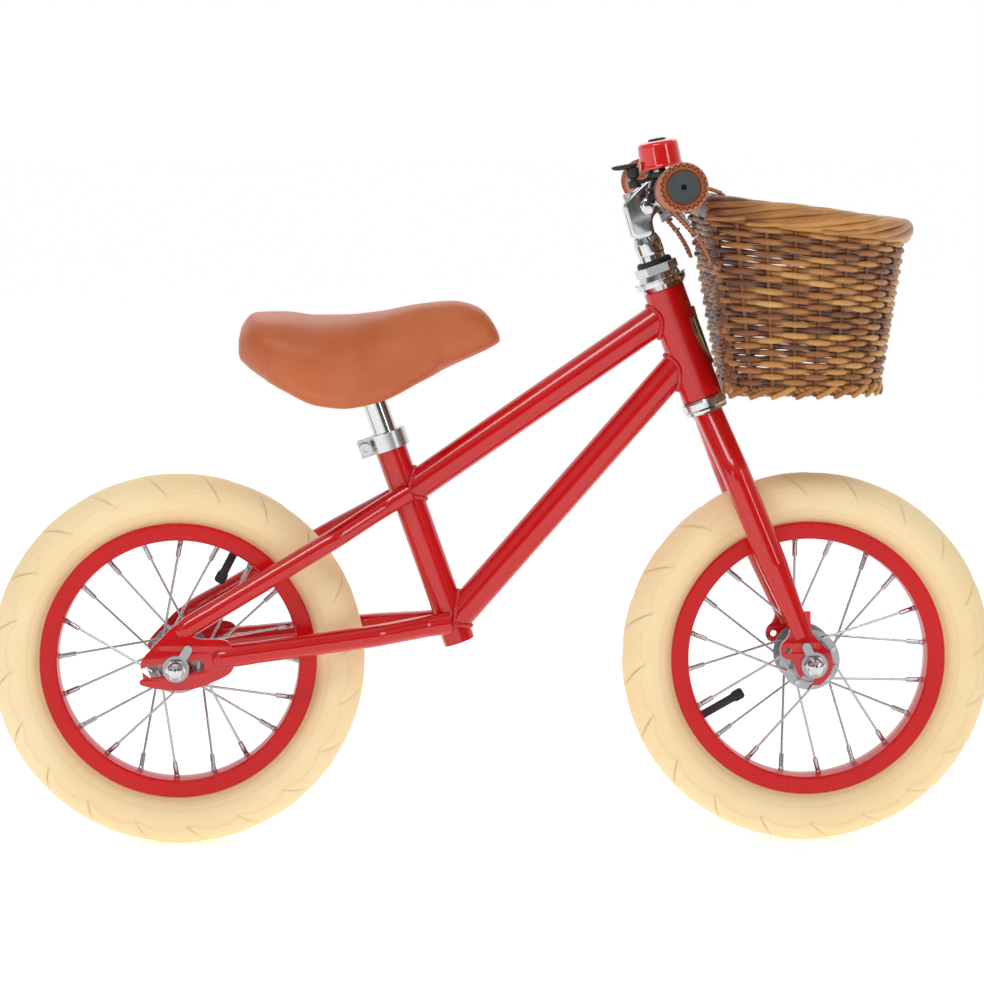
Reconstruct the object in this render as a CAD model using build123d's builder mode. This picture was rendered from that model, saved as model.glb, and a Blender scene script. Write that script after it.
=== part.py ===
from build123d import *
import math
import os

os.makedirs("parts", exist_ok=True)

# ---------------------------------------------------------------------------
# Driving dimensions (millimetres). Origin: on the ground, midway between the
# two hubs, +X forward, +Z up. The bicycle is symmetric about y = 0 except for
# the bell.
# ---------------------------------------------------------------------------
HALF_BASE = 254.0        # half the wheelbase
HUB_Z = 150.0            # wheel radius, tyre included
TYRE_R = 150.0
TYRE_W = 24.0            # half the tyre's width
BEAD_R = 101.5           # 203 mm bead seat diameter, a "12 inch" wheel
RIM_OUT_R = 110.5
RIM_IN_R = 96.0
SPOKES = 20
SPOKE_R = 1.0
NIPPLE_R = 2.0
FLANGE_R = 24.2
HOLE_CIRCLE_R = 20.8
AXLE_R = 4.75            # 3/8 inch axle
SLOT_R = 4.85

HEAD_TILT = 20.0         # head tube from vertical
HEAD_X, HEAD_Z = 152.2, 403.6
SEAT_TILT = 19.5         # seat tube from vertical
SEAT_X, SEAT_Z = -27.7, 163.3   # lower open end of the seat tube
TUBE_R = 12.7            # 25.4 mm frame tubes
WALL = 1.6
HEAD_R, HEAD_BORE = 16.5, 14.8
STEERER_R, STEERER_BORE = 12.7, 10.60
QUILL_R = 10.55
POST_R, SEAT_BORE = 10.0, 10.05
SEAT_TUBE_L = 180.0
BAR_R = 11.1
BAR_X, BAR_Z = 137.0, 528.0
BAR_BEND_Y = 95.0
BAR_END_Y = 188.0
BELL_Y = -59.0
STRAP_Y = 81.0

c20, s20 = math.cos(math.radians(HEAD_TILT)), math.sin(math.radians(HEAD_TILT))
cse, sse = math.cos(math.radians(SEAT_TILT)), math.sin(math.radians(SEAT_TILT))

# steering axis frame: z along the axis, x perpendicular to it and forward
STEER = Plane(origin=(HEAD_X, 0, HEAD_Z), x_dir=(c20, 0, s20), z_dir=(-s20, 0, c20))
STEER_AXIS = Axis((HEAD_X, 0, HEAD_Z), (-s20, 0, c20))
# profile plane of the steering axis: (distance from the axis, height along it)
STEER_PROFILE = Plane(origin=(HEAD_X, 0, HEAD_Z), x_dir=(c20, 0, s20), z_dir=(0, -1, 0))
# seat tube frame
SEAT = Plane(origin=(SEAT_X, 0, SEAT_Z), x_dir=(cse, 0, sse), z_dir=(-sse, 0, cse))
SEAT_AXIS = Axis((SEAT_X, 0, SEAT_Z), (-sse, 0, cse))
SEAT_PROFILE = Plane(origin=(SEAT_X, 0, SEAT_Z), x_dir=(cse, 0, sse), z_dir=(0, -1, 0))


def steer_point(t, s, y=0.0):
    """World point at distance t in front of the steering axis, height s along it."""
    return (HEAD_X + t * c20 - s * s20, y, HEAD_Z + t * s20 + s * c20)


def seat_point(t, s, y=0.0):
    return (SEAT_X + t * cse - s * sse, y, SEAT_Z + t * sse + s * cse)


def mirrored(shape):
    """The shape together with its copy on the other side of the bicycle."""
    return Compound(children=[shape, shape.mirror(Plane.XZ)])


def save(part, label):
    part.label = label
    export_step(part, f"parts/{label}.step")


# ============================== FRAME ======================================
with BuildPart() as head_tube:
    with BuildSketch(STEER.offset(-46)):
        Circle(HEAD_R)
        Circle(HEAD_BORE, mode=Mode.SUBTRACT)
    extrude(amount=94)
    chamfer(head_tube.edges().filter_by(GeomType.CIRCLE).group_by(SortBy.RADIUS)[-1], 0.8)
save(head_tube.part, "head_tube")

# solid stand-ins used only to mitre the tubes that meet them
HEAD_SOLID = Solid.make_cylinder(HEAD_R, 110, STEER.offset(-55))
SEAT_SOLID = Solid.make_cylinder(TUBE_R, 190, SEAT.offset(-5))

TOP_REAR, TOP_FRONT = Vector(-70.2, 0, 284.5), Vector(142.0, 0, 431.0)
DOWN_REAR, DOWN_FRONT = Vector(-33.0, 0, 179.5), Vector(155.3, 0, 395.0)
TOP_PLANE = Plane(origin=TOP_REAR, z_dir=TOP_FRONT - TOP_REAR)
DOWN_PLANE = Plane(origin=DOWN_REAR, z_dir=DOWN_FRONT - DOWN_REAR)

with BuildPart() as top_tube:
    with BuildSketch(TOP_PLANE):
        Circle(TUBE_R)
        Circle(TUBE_R - WALL, mode=Mode.SUBTRACT)
    extrude(amount=(TOP_FRONT - TOP_REAR).length)
    add(SEAT_SOLID, mode=Mode.SUBTRACT)
    add(HEAD_SOLID, mode=Mode.SUBTRACT)
save(top_tube.part.solids().sort_by(SortBy.VOLUME)[-1], "top_tube")

with BuildPart() as down_tube:
    with BuildSketch(DOWN_PLANE):
        Circle(TUBE_R)
        Circle(TUBE_R - WALL, mode=Mode.SUBTRACT)
    extrude(amount=(DOWN_FRONT - DOWN_REAR).length)
    add(SEAT_SOLID, mode=Mode.SUBTRACT)
    add(HEAD_SOLID, mode=Mode.SUBTRACT)
save(down_tube.part.solids().sort_by(SortBy.VOLUME)[-1], "down_tube")

# seat tube, open at both ends, with a clamping slot at the rear of its top
with BuildPart() as seat_tube:
    with BuildSketch(SEAT):
        Circle(TUBE_R)
        Circle(SEAT_BORE, mode=Mode.SUBTRACT)
    extrude(amount=SEAT_TUBE_L)
    with BuildSketch(SEAT.offset(150)):
        with Locations((-12, 0)):
            Rectangle(10, 2.4)
    extrude(amount=40, mode=Mode.SUBTRACT)
save(seat_tube.part, "seat_tube")

# ---- rear dropout plates --------------------------------------------------
REAR_IN_Y, PLATE_T = 55.0, 5.0
REAR_PLATE = Plane(origin=(0, -REAR_IN_Y, 0), x_dir=(1, 0, 0), z_dir=(0, -1, 0))
with BuildPart() as rear_dropout:
    with BuildSketch(REAR_PLATE):
        with BuildLine():
            Polyline((-283.3, 154.6), (-274.3, 165.2), (-252.9, 187.5), (-240.2, 172.6),
                     (-216.8, 173.5), (-209.0, 168.5), (-208.0, 150.5), (-212.4, 145.0),
                     (-226.8, 138.4), (-242.0, 133.1), (-260.8, 132.6), (-280.5, 136.4),
                     (-283.0, 138.5), (-282.5, 141.2), (-281.5, 144.0), (-282.5, 149.5), close=True)
        make_face()
    extrude(amount=PLATE_T)
    # horizontal axle slot, open to the rear and sloping with the chain stay
    with BuildSketch(REAR_PLATE):
        with Locations(Location((-269.0, 148.2, 0), (0, 0, 6.8))):
            Rectangle(66, 2 * SLOT_R)
        with Locations((-236.3, 152.1)):
            Circle(SLOT_R)
    extrude(amount=PLATE_T, mode=Mode.SUBTRACT)
    with BuildSketch(REAR_PLATE):
        with Locations((-244.4, 165.4)):
            Circle(2.5)
    extrude(amount=PLATE_T, mode=Mode.SUBTRACT)
REAR_DROPOUT = rear_dropout.part.solids().sort_by(SortBy.VOLUME)[-1]
save(mirrored(REAR_DROPOUT), "rear_dropouts")

# ---- seat stays and chain stays ------------------------------------------
# each pair leaves the sides of the seat tube, swings out round the tyre and
# ends slotted over its dropout plate
with BuildPart() as rear_slot:
    with BuildSketch(REAR_PLATE):
        with BuildLine():
            Polyline((-283.3, 154.6), (-252.9, 190.0), (-200.0, 190.0), (-200.0, 133.0),
                     (-283.3, 133.0), close=True)
        make_face()
    extrude(amount=PLATE_T)

SS_A = 30.4
SS_DIR = Vector(-math.cos(math.radians(SS_A)), 0, -math.sin(math.radians(SS_A)))
SS_PLANE = Plane(origin=(-66.9, 0, 286.9), x_dir=SS_DIR, z_dir=SS_DIR.cross(Vector(0, 1, 0)))
with BuildPart() as seat_stay:
    with BuildLine(SS_PLANE) as ss_path:
        FilletPolyline((2, -13.5), (24, -15.5), (72, -38.5), (207, -54.5), radius=34)
    with BuildSketch(Plane(origin=ss_path.line @ 0, z_dir=ss_path.line % 0)):
        Circle(8)
    sweep(path=ss_path.line)
    add(Solid.make_cylinder(TUBE_R, 200, SEAT.offset(-5)), mode=Mode.SUBTRACT)
    add(rear_slot.part, mode=Mode.SUBTRACT)
save(mirrored(seat_stay.part.solids().sort_by(SortBy.VOLUME)[-1]), "seat_stays")

CS_A = 6.6
CS_DIR = Vector(-math.cos(math.radians(CS_A)), 0, -math.sin(math.radians(CS_A)))
CS_PLANE = Plane(origin=(-33.6, 0, 180.0), x_dir=CS_DIR, z_dir=CS_DIR.cross(Vector(0, 1, 0)))
with BuildPart() as chain_stay:
    with BuildLine(CS_PLANE) as cs_path:
        FilletPolyline((2, -13.5), (20, -15.5), (62, -37.5), (186, -54.5), radius=34)
    with BuildSketch(Plane(origin=cs_path.line @ 0, z_dir=cs_path.line % 0)):
        Circle(8.8)
    sweep(path=cs_path.line)
    add(Solid.make_cylinder(TUBE_R, 200, SEAT.offset(-5)), mode=Mode.SUBTRACT)
    add(rear_slot.part, mode=Mode.SUBTRACT)
save(mirrored(chain_stay.part.solids().sort_by(SortBy.VOLUME)[-1]), "chain_stays")

# ---- headset cups, pressed into the head tube ----------------------------
with BuildPart() as headset_cups:
    with BuildSketch(STEER_PROFILE):
        with BuildLine():
            Polyline((13.4, 38), (HEAD_BORE, 38), (HEAD_BORE, 48), (17.2, 48), (20.4, 52),
                     (20.4, 55.5), (17.0, 55.5), (17.0, 50), (13.4, 50), close=True)
        make_face()
    revolve(axis=STEER_AXIS)
    with BuildSketch(STEER_PROFILE):
        with BuildLine():
            Polyline((13.4, -36), (HEAD_BORE, -36), (HEAD_BORE, -46), (17.6, -46), (18.5, -48),
                     (18.5, -53), (15.5, -53), (15.5, -48), (13.4, -48), close=True)
        make_face()
    revolve(axis=STEER_AXIS)
save(headset_cups.part, "headset_cups")

# ---- head badge: a plain shield bent round the front of the head tube -----
with BuildPart() as head_badge:
    with BuildSketch(STEER.offset(-22.5)):
        Circle(HEAD_R + 1.5)
        Circle(HEAD_R, mode=Mode.SUBTRACT)
    extrude(amount=49)
    with BuildSketch(Plane(origin=STEER.origin, x_dir=(0, 1, 0), z_dir=(c20, 0, s20))):
        with BuildLine():
            Polyline((0, 26.5), (6, 20), (12.5, 19), (13, 6), (11, -8), (6, -17), (0, -22.5),
                     (-6, -17), (-11, -8), (-13, 6), (-12.5, 19), (-6, 20), close=True)
        make_face()
    extrude(amount=30, mode=Mode.INTERSECT)
save(head_badge.part.solids().sort_by(SortBy.VOLUME)[-1], "head_badge")

# ---- seat clamp and its bolt ---------------------------------------------
with BuildPart() as seat_clamp:
    with BuildSketch(SEAT.offset(166)):
        Circle(TUBE_R + 3.4)
        with Locations((-18, 0)):
            Rectangle(12, 17)
        Circle(TUBE_R, mode=Mode.SUBTRACT)
        with Locations((-20, 0)):
            Rectangle(20, 3.2, mode=Mode.SUBTRACT)
    extrude(amount=14)
    with BuildSketch(Plane(origin=seat_point(-19.3, 173), x_dir=(1, 0, 0), z_dir=(0, 1, 0))):
        Circle(2.5)
    extrude(amount=20, both=True, mode=Mode.SUBTRACT)
save(seat_clamp.part, "seat_clamp")

with BuildPart() as seat_clamp_bolt:
    with BuildSketch(Plane(origin=seat_point(-19.3, 173, 13), x_dir=(1, 0, 0), z_dir=(0, -1, 0))):
        Circle(2.5)
    extrude(amount=25)
    with BuildSketch(Plane(origin=seat_point(-19.3, 173, -8.5), x_dir=(1, 0, 0), z_dir=(0, -1, 0))):
        Circle(4.8)
    extrude(amount=5)
    with BuildSketch(Plane(origin=seat_point(-19.3, 173, -13.5), x_dir=(1, 0, 0), z_dir=(0, 1, 0))):
        RegularPolygon(2.6, 6)
    extrude(amount=2.6, mode=Mode.SUBTRACT)
    with BuildSketch(Plane(origin=seat_point(-19.3, 173, 8.5), x_dir=(1, 0, 0), z_dir=(0, 1, 0))):
        RegularPolygon(4.6, 6)
    extrude(amount=4)
save(seat_clamp_bolt.part, "seat_clamp_bolt")

# ============================ STEERING =====================================
with BuildPart() as fork_steerer:
    with BuildSketch(STEER.offset(-60)):
        Circle(STEERER_R)
        Circle(STEERER_BORE, mode=Mode.SUBTRACT)
    extrude(amount=128)
save(fork_steerer.part, "fork_steerer")

# unicrown legs: they leave the foot of the steerer, bow out round the tyre
# and taper down to the dropouts
CROWN_S = -57.0
AXLE_S, AXLE_T = -273.1, 8.9
leg_len = math.hypot(AXLE_S - CROWN_S, AXLE_T)
leg_up = Vector(*steer_point(0, CROWN_S)) - Vector(*steer_point(AXLE_T, AXLE_S))
LEG_PLANE = Plane(origin=steer_point(0, CROWN_S), x_dir=(0, 1, 0),
                  z_dir=Vector(0, 1, 0).cross(leg_up))
FRONT_IN_Y = 48.0
FRONT_PLATE = Plane(origin=(0, -FRONT_IN_Y, 0), x_dir=(1, 0, 0), z_dir=(0, -1, 0))
with BuildPart() as front_slot:
    with BuildSketch(FRONT_PLATE):
        with BuildLine():
            Polyline((222, 150), (222, 193), (252, 193), (275, 160), (275, 130), (222, 130), close=True)
        make_face()
    extrude(amount=PLATE_T)

with BuildPart() as fork_leg:
    with BuildLine(LEG_PLANE) as leg_path:
        FilletPolyline((-4, 2), (-12.5, -4), (-41.0, -50), (-46.5, -130), radius=26)
    with BuildSketch(Plane(origin=leg_path.line @ 0, z_dir=leg_path.line % 0)):
        Circle(11.4)
    sweep(path=leg_path.line)
    with BuildSketch(Plane(origin=leg_path.line @ 1, z_dir=leg_path.line % 1)):
        Circle(11.4)
    low = Vector(*LEG_PLANE.from_local_coords((-50.3, -192, 0)))
    with BuildSketch(Plane(origin=low, z_dir=leg_path.line % 1)):
        Circle(7.4)
    loft()
    # trim: below the crown race, outside the steerer, one side of the middle
    with BuildSketch(STEER.offset(CROWN_S)):
        Rectangle(120, 160)
    extrude(amount=40, mode=Mode.SUBTRACT)
    add(Solid.make_cylinder(STEERER_R, 60, STEER.offset(-60)), mode=Mode.SUBTRACT)
    split(bisect_by=Plane.XZ, keep=Keep.TOP)
FORK_LEG = fork_leg.part.cut(front_slot.part).solids().sort_by(SortBy.VOLUME)[-1]
FORK_LEGS = FORK_LEG.fuse(FORK_LEG.mirror(Plane.XZ))
save(Part(FORK_LEGS.wrapped) if not isinstance(FORK_LEGS, (list, ShapeList)) else Compound(children=list(FORK_LEGS)), "fork_legs")

with BuildPart() as front_dropout:
    with BuildSketch(FRONT_PLATE):
        with BuildLine():
            Polyline((235.5, 186.0), (232.6, 170.5), (228.0, 167.0), (226.2, 162.2), (227.8, 157.2),
                     (232.0, 154.8), (237.0, 154.0), (240.0, 143.6), (243.6, 139.4), (248.0, 137.0),
                     (254.0, 134.2), (258.2, 133.6), (266.4, 140.9), (269.5, 151.0), (266.4, 160.0),
                     (259.0, 167.0), (251.7, 174.1), (250.5, 186.0), close=True)
        make_face()
    extrude(amount=PLATE_T)
    # axle slot open downwards
    with BuildSketch(FRONT_PLATE):
        with Locations((254, 150)):
            Circle(SLOT_R)
        with Locations(Location((248.9, 137.9, 0), (0, 0, 67.2))):
            Rectangle(26.2, 2 * SLOT_R)
    extrude(amount=PLATE_T, mode=Mode.SUBTRACT)
    with BuildSketch(FRONT_PLATE):
        with Locations((232.9, 162.0)):
            Circle(2.6)
        with Locations((247.6, 164.6)):
            Circle(2.5)
    extrude(amount=PLATE_T, mode=Mode.SUBTRACT)
save(mirrored(front_dropout.part.solids().sort_by(SortBy.VOLUME)[-1]), "fork_dropouts")

with BuildPart() as headset_bearings:
    with BuildSketch(STEER_PROFILE):
        with Locations((14.8, 52.5)):
            Rectangle(4.2, 4.8)
        with Locations((14.06, -50.5)):
            Rectangle(2.7, 4.8)
    revolve(axis=STEER_AXIS)
save(headset_bearings.part, "headset_bearings")

with BuildPart() as headset_washer:
    with BuildSketch(STEER.offset(55.8)):
        Circle(20.2)
        with PolarLocations(20.2, 12):
            Rectangle(2.0, 5.0)
        Circle(STEERER_R, mode=Mode.SUBTRACT)
    extrude(amount=1.0)
save(headset_washer.part, "headset_washer")

# lower (crown) race and the threaded upper race
with BuildPart() as headset_races:
    with BuildSketch(STEER_PROFILE):
        with BuildLine():
            Polyline((STEERER_R, 56.8), (17.2, 56.8), (16.0, 61.2), (STEERER_R, 61.2), close=True)
        make_face()
        with BuildLine():
            Polyline((STEERER_R, -57), (17.4, -57), (17.4, -54.6), (16.4, -53.3), (STEERER_R, -53.3),
                     close=True)
        make_face()
    revolve(axis=STEER_AXIS)
save(headset_races.part, "headset_races")

with BuildPart() as headset_locknut:
    with BuildSketch(STEER.offset(61.2)):
        RegularPolygon(15.2, 6, major_radius=False)
        Circle(STEERER_R, mode=Mode.SUBTRACT)
    extrude(amount=6.8)
    chamfer(headset_locknut.edges().filter_by(GeomType.LINE).sort_by(STEER_AXIS)[-6:], 0.7)
save(headset_locknut.part, "headset_locknut")

with BuildPart() as headset_seal:
    with BuildSketch(STEER_PROFILE):
        with BuildLine():
            Polyline((11.0, 68.0), (14.4, 68.0), (14.4, 70.6), (13.0, 72.3), (11.0, 72.3), close=True)
        make_face()
    revolve(axis=STEER_AXIS)
save(headset_seal.part, "headset_seal")

# ============================== STEM =======================================
BAR_T = (BAR_X - HEAD_X) * c20 + (BAR_Z - HEAD_Z) * s20
BAR_S = -(BAR_X - HEAD_X) * s20 + (BAR_Z - HEAD_Z) * c20
BAR_PLANE = Plane(origin=(BAR_X, 0, BAR_Z), x_dir=(c20, 0, s20), z_dir=(0, -1, 0))

with BuildPart() as stem:
    with BuildSketch(STEER.offset(-20)):
        Circle(QUILL_R)
    extrude(amount=106)
    with BuildSketch(STEER_PROFILE):
        with BuildLine():
            Polyline((0, 77), (10.8, 77), (11.8, 79), (11.8, 88), (10.8, 90), (0, 90), close=True)
        make_face()
    revolve(axis=STEER_AXIS)
    with BuildLine(STEER_PROFILE) as stem_path:
        FilletPolyline((0, 84), (0, 119.8), (BAR_T, BAR_S), radius=12)
    with BuildSketch(Plane(origin=stem_path.line @ 0, z_dir=stem_path.line % 0)):
        Circle(10.7)
    sweep(path=stem_path.line)
    with BuildSketch(BAR_PLANE):
        Circle(15.4)
    extrude(amount=18, both=True)
    with BuildSketch(BAR_PLANE):
        with Locations((0, -17.5)):
            Rectangle(16, 13)
    extrude(amount=8, both=True)
    with BuildSketch(BAR_PLANE):
        Circle(BAR_R + 0.05)
        with Locations((0, -19)):
            Rectangle(2.4, 20)
    extrude(amount=20, both=True, mode=Mode.SUBTRACT)
    # slanted foot of the quill
    with BuildSketch(STEER_PROFILE):
        with BuildLine():
            Polyline((-12, -9), (12, -27), (-12, -27), close=True)
        make_face()
    extrude(amount=14, both=True, mode=Mode.SUBTRACT)
    # expander bolt hole, with a seat for its head
    with BuildSketch(STEER.offset(-30)):
        Circle(4.0)
    extrude(amount=170, mode=Mode.SUBTRACT)
    with BuildSketch(STEER.offset(123.5)):
        Circle(6.8)
    extrude(amount=20, mode=Mode.SUBTRACT)
    # pinch bolt hole
    with BuildSketch(Plane(origin=steer_point(BAR_T - 20, BAR_S - 20), z_dir=(c20, 0, s20))):
        Circle(2.6)
    extrude(amount=40, mode=Mode.SUBTRACT)
save(stem.part.solids().sort_by(SortBy.VOLUME)[-1], "stem")

with BuildPart() as stem_wedge:
    with BuildSketch(STEER.offset(-42)):
        Circle(10.4)
        Circle(3.0, mode=Mode.SUBTRACT)
    extrude(amount=40)
    with BuildSketch(STEER_PROFILE):
        with BuildLine():
            Polyline((-12, -9.2), (12, -27.2), (12, 0), (-12, 0), close=True)
        make_face()
    extrude(amount=14, both=True, mode=Mode.SUBTRACT)
save(stem_wedge.part.solids().sort_by(SortBy.VOLUME)[-1], "stem_wedge")

with BuildPart() as expander_bolt:
    with BuildSketch(STEER.offset(-44)):
        Circle(3.0)
    extrude(amount=168)
    with BuildSketch(STEER.offset(123.5)):
        Circle(6.0)
    extrude(amount=5.5)
    with BuildSketch(STEER.offset(125.5)):
        RegularPolygon(3.2, 6)
    extrude(amount=6, mode=Mode.SUBTRACT)
with BuildPart() as pinch_bolt:
    with BuildSketch(Plane(origin=steer_point(BAR_T - 9.5, BAR_S - 20), z_dir=(c20, 0, s20))):
        Circle(2.6)
    extrude(amount=20)
    with BuildSketch(Plane(origin=steer_point(BAR_T + 8, BAR_S - 20), z_dir=(c20, 0, s20))):
        Circle(4.6)
    extrude(amount=4.5)
    with BuildSketch(Plane(origin=steer_point(BAR_T - 8, BAR_S - 20), z_dir=(-c20, 0, -s20))):
        RegularPolygon(4.6, 6)
    extrude(amount=3.6)
save(Compound(children=[expander_bolt.part.solid(), pinch_bolt.part.solid()]), "stem_bolts")

# ============================ HANDLEBAR ====================================
# nearly straight bar; beyond the bend each side rises and sweeps back a little
END_DIR = Vector(-2.8, -(BAR_END_Y - BAR_BEND_Y), 4.2)
BEND = Vector(BAR_X, -BAR_BEND_Y, BAR_Z)
END_PLANE = Plane(origin=BEND, z_dir=END_DIR)
END_L = END_DIR.length

with BuildPart() as handlebar:
    with BuildLine() as bar_path:
        FilletPolyline((BAR_X - 2.8, -BAR_END_Y, BAR_Z + 4.2), (BAR_X, -BAR_BEND_Y, BAR_Z),
                       (BAR_X, 0, BAR_Z), radius=60)
    with BuildSketch(Plane(origin=bar_path.line @ 0, z_dir=bar_path.line % 0)):
        Circle(BAR_R)
        Circle(BAR_R - 1.8, mode=Mode.SUBTRACT)
    sweep(path=bar_path.line)
    mirror(about=Plane.XZ)
save(handlebar.part, "handlebar")

GRIP_START, GRIP_L = 5.0, END_L - 5.0
with BuildPart() as grip:
    with BuildSketch(END_PLANE.offset(GRIP_START)):
        Circle(16.6)
        Circle(BAR_R, mode=Mode.SUBTRACT)
    extrude(amount=GRIP_L - 7)
    with BuildSketch(END_PLANE.offset(END_L - 7)):
        Circle(18.3)
        Circle(BAR_R, mode=Mode.SUBTRACT)
    extrude(amount=7)
save(mirrored(grip.part.solid()), "grips")

with BuildPart() as grip_plug:
    with BuildSketch(END_PLANE.offset(END_L - 12)):
        Circle(BAR_R - 1.8)
    extrude(amount=12)
    with BuildSketch(END_PLANE.offset(END_L)):
        Circle(12.2)
    extrude(amount=2.0)
    with BuildSketch(END_PLANE.offset(END_L - 4)):
        Circle(2.2)
    extrude(amount=8, mode=Mode.SUBTRACT)
save(mirrored(grip_plug.part.solid()), "grip_plugs")

# ================================ BELL =====================================
BELL_TILT = 10.5
cb, sb = math.cos(math.radians(BELL_TILT)), math.sin(math.radians(BELL_TILT))
BELL_O = Vector(128.7, BELL_Y, 545.9)
BELL = Plane(origin=BELL_O, x_dir=(cb, 0, sb), z_dir=(-sb, 0, cb))
BELL_AXIS = Axis(BELL_O, (-sb, 0, cb))
BELL_PROFILE = Plane(origin=BELL_O, x_dir=(cb, 0, sb), z_dir=(0, -1, 0))
PIVOT_X = -9.0
BELL_BAR = Plane(origin=(BAR_X, BELL_Y, BAR_Z), x_dir=(1, 0, 0), z_dir=(0, -1, 0))

with BuildPart() as bell_base:
    with BuildSketch(BELL_BAR):
        Circle(13.8)
        with Locations((-15.5, -3)):
            Rectangle(9, 9)
    extrude(amount=6.5, both=True)
    with BuildSketch(BELL.offset(-7)):
        Circle(12.5)
    extrude(amount=4.0)
    with BuildSketch(BELL.offset(-4)):
        Circle(3.0)
        with Locations((PIVOT_X, 0)):
            Circle(2.0)
    extrude(amount=7.0)
    with BuildSketch(BELL.offset(2)):
        Circle(3.0)
    extrude(amount=16.9)
    with BuildSketch(BELL.offset(8)):
        Circle(1.5)
    extrude(amount=14, mode=Mode.SUBTRACT)
    # bar hole, clamping slot and screw hole
    with BuildSketch(BELL_BAR):
        Circle(BAR_R)
        with Locations((-16, -2)):
            Rectangle(12, 1.6)
    extrude(amount=10, both=True, mode=Mode.SUBTRACT)
    with BuildSketch(Plane(origin=(BAR_X - 16.6, BELL_Y, BAR_Z - 12), z_dir=(0, 0, 1))):
        Circle(1.5)
    extrude(amount=14, mode=Mode.SUBTRACT)
save(bell_base.part.solids().sort_by(SortBy.VOLUME)[-1], "bell_base")

with BuildPart() as bell_dome:
    with BuildSketch(BELL_PROFILE):
        with BuildLine():
            Polyline((16.7, 0), (16.7, 15.5), (15.4, 18.7), (12.2, 20.4), (1.6, 20.4), (1.6, 18.9),
                     (11.6, 18.9), (14.2, 17.6), (15.2, 15.0), (15.2, 0), close=True)
        make_face()
    revolve(axis=BELL_AXIS)
save(bell_dome.part, "bell_dome")

with BuildPart() as dome_screw:
    with BuildSketch(BELL.offset(9)):
        Circle(1.5)
    extrude(amount=11.5)
    with BuildSketch(BELL.offset(20.4)):
        Circle(4.2)
    extrude(amount=1.6)
with BuildPart() as clamp_screw:
    with BuildSketch(Plane(origin=(BAR_X - 16.6, BELL_Y, BAR_Z - 8.5), z_dir=(0, 0, 1))):
        Circle(1.5)
    extrude(amount=9)
    with BuildSketch(Plane(origin=(BAR_X - 16.6, BELL_Y, BAR_Z - 7.5), z_dir=(0, 0, -1))):
        Circle(3.4)
    extrude(amount=3)
save(Compound(children=[dome_screw.part.solid(), clamp_screw.part.solid()]), "bell_screws")

# thumb lever with its striker, turning on the pin beside the middle post
with BuildPart() as bell_lever:
    with BuildSketch(BELL.offset(-2.7)):
        with Locations((PIVOT_X, 0)):
            Circle(4.2)
        with BuildLine():
            Polyline((-10.6, -2.6), (-7.4, 1.4), (1.2, -9.4), (-1.6, -12.0), close=True)
        make_face()
        with Locations((-1, -10)):
            Circle(2.2)
        with Locations((-15.5, 0)):
            Rectangle(13, 5)
        with Locations((PIVOT_X, 0)):
            Circle(2.05, mode=Mode.SUBTRACT)
    extrude(amount=2.0)
    with BuildSketch(BELL.offset(-1.7)):
        with Locations((-1, -10)):
            Circle(2.0)
    extrude(amount=10)
    with BuildSketch(BELL_PROFILE):
        with BuildLine():
            Polyline((-18, -2.7), (-21.5, -2.7), (-30, 5.6), (-39.5, 8.6), (-40, 10.9), (-29, 8.0),
                     (-20.6, -0.7), (-18, -0.7), close=True)
        make_face()
    extrude(amount=2.5, both=True)
    with BuildSketch(BELL_PROFILE):
        with BuildLine():
            Polyline((-29.0, 5.9), (-39.5, 8.6), (-40, 10.9), (-29.0, 8.2), close=True)
        make_face()
    extrude(amount=5.5, both=True)
save(bell_lever.part.solids().sort_by(SortBy.VOLUME)[-1], "bell_lever")

with BuildPart() as bell_spring:
    with BuildSketch(BELL.offset(-0.5)):
        with Locations((PIVOT_X, 0)):
            Circle(3.4)
            Circle(2.3, mode=Mode.SUBTRACT)
    extrude(amount=3.0)
save(bell_spring.part, "bell_spring")

# =============================== BASKET ====================================
RIM_TILT = 7.05
cr, sr = math.cos(math.radians(RIM_TILT)), math.sin(math.radians(RIM_TILT))
RIM_PLANE = Plane(origin=(246.5, 0, 495.3), x_dir=(cr, 0, -sr), z_dir=(sr, 0, cr))
FLOOR = Plane(origin=(248.7, 0, 368.0))
BASKET_WALL = 6.0
RIM_H = 19.0

with BuildPart() as basket:
    for pl, a, w, c in ((FLOOR, 63.2, 82.0, -10.0), (RIM_PLANE, 84.0, 112.0, -12.0)):
        r = 16.0
        with BuildSketch(pl):
            with BuildLine():
                Line((-a, -w + r), (-a, w - r))
                RadiusArc((-a, w - r), (-a + r, w), r)
                Line((-a + r, w), (c, w))
                ThreePointArc((c, w), (a, 0), (c, -w))
                Line((c, -w), (-a + r, -w))
                RadiusArc((-a + r, -w), (-a, -w + r), r)
            make_face()
    loft()
    for pl, a, w, c in ((FLOOR.offset(BASKET_WALL), 57.7, 76.5, -10.0),
                        (RIM_PLANE.offset(1.0), 78.0, 106.0, -12.0)):
        r = 10.0
        with BuildSketch(pl):
            with BuildLine():
                Line((-a, -w + r), (-a, w - r))
                RadiusArc((-a, w - r), (-a + r, w), r)
                Line((-a + r, w), (c, w))
                ThreePointArc((c, w), (a, 0), (c, -w))
                Line((c, -w), (-a + r, -w))
                RadiusArc((-a + r, -w), (-a, -w + r), r)
            make_face()
    loft(mode=Mode.SUBTRACT)
save(basket.part.solids().sort_by(SortBy.VOLUME)[-1], "basket")

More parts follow.
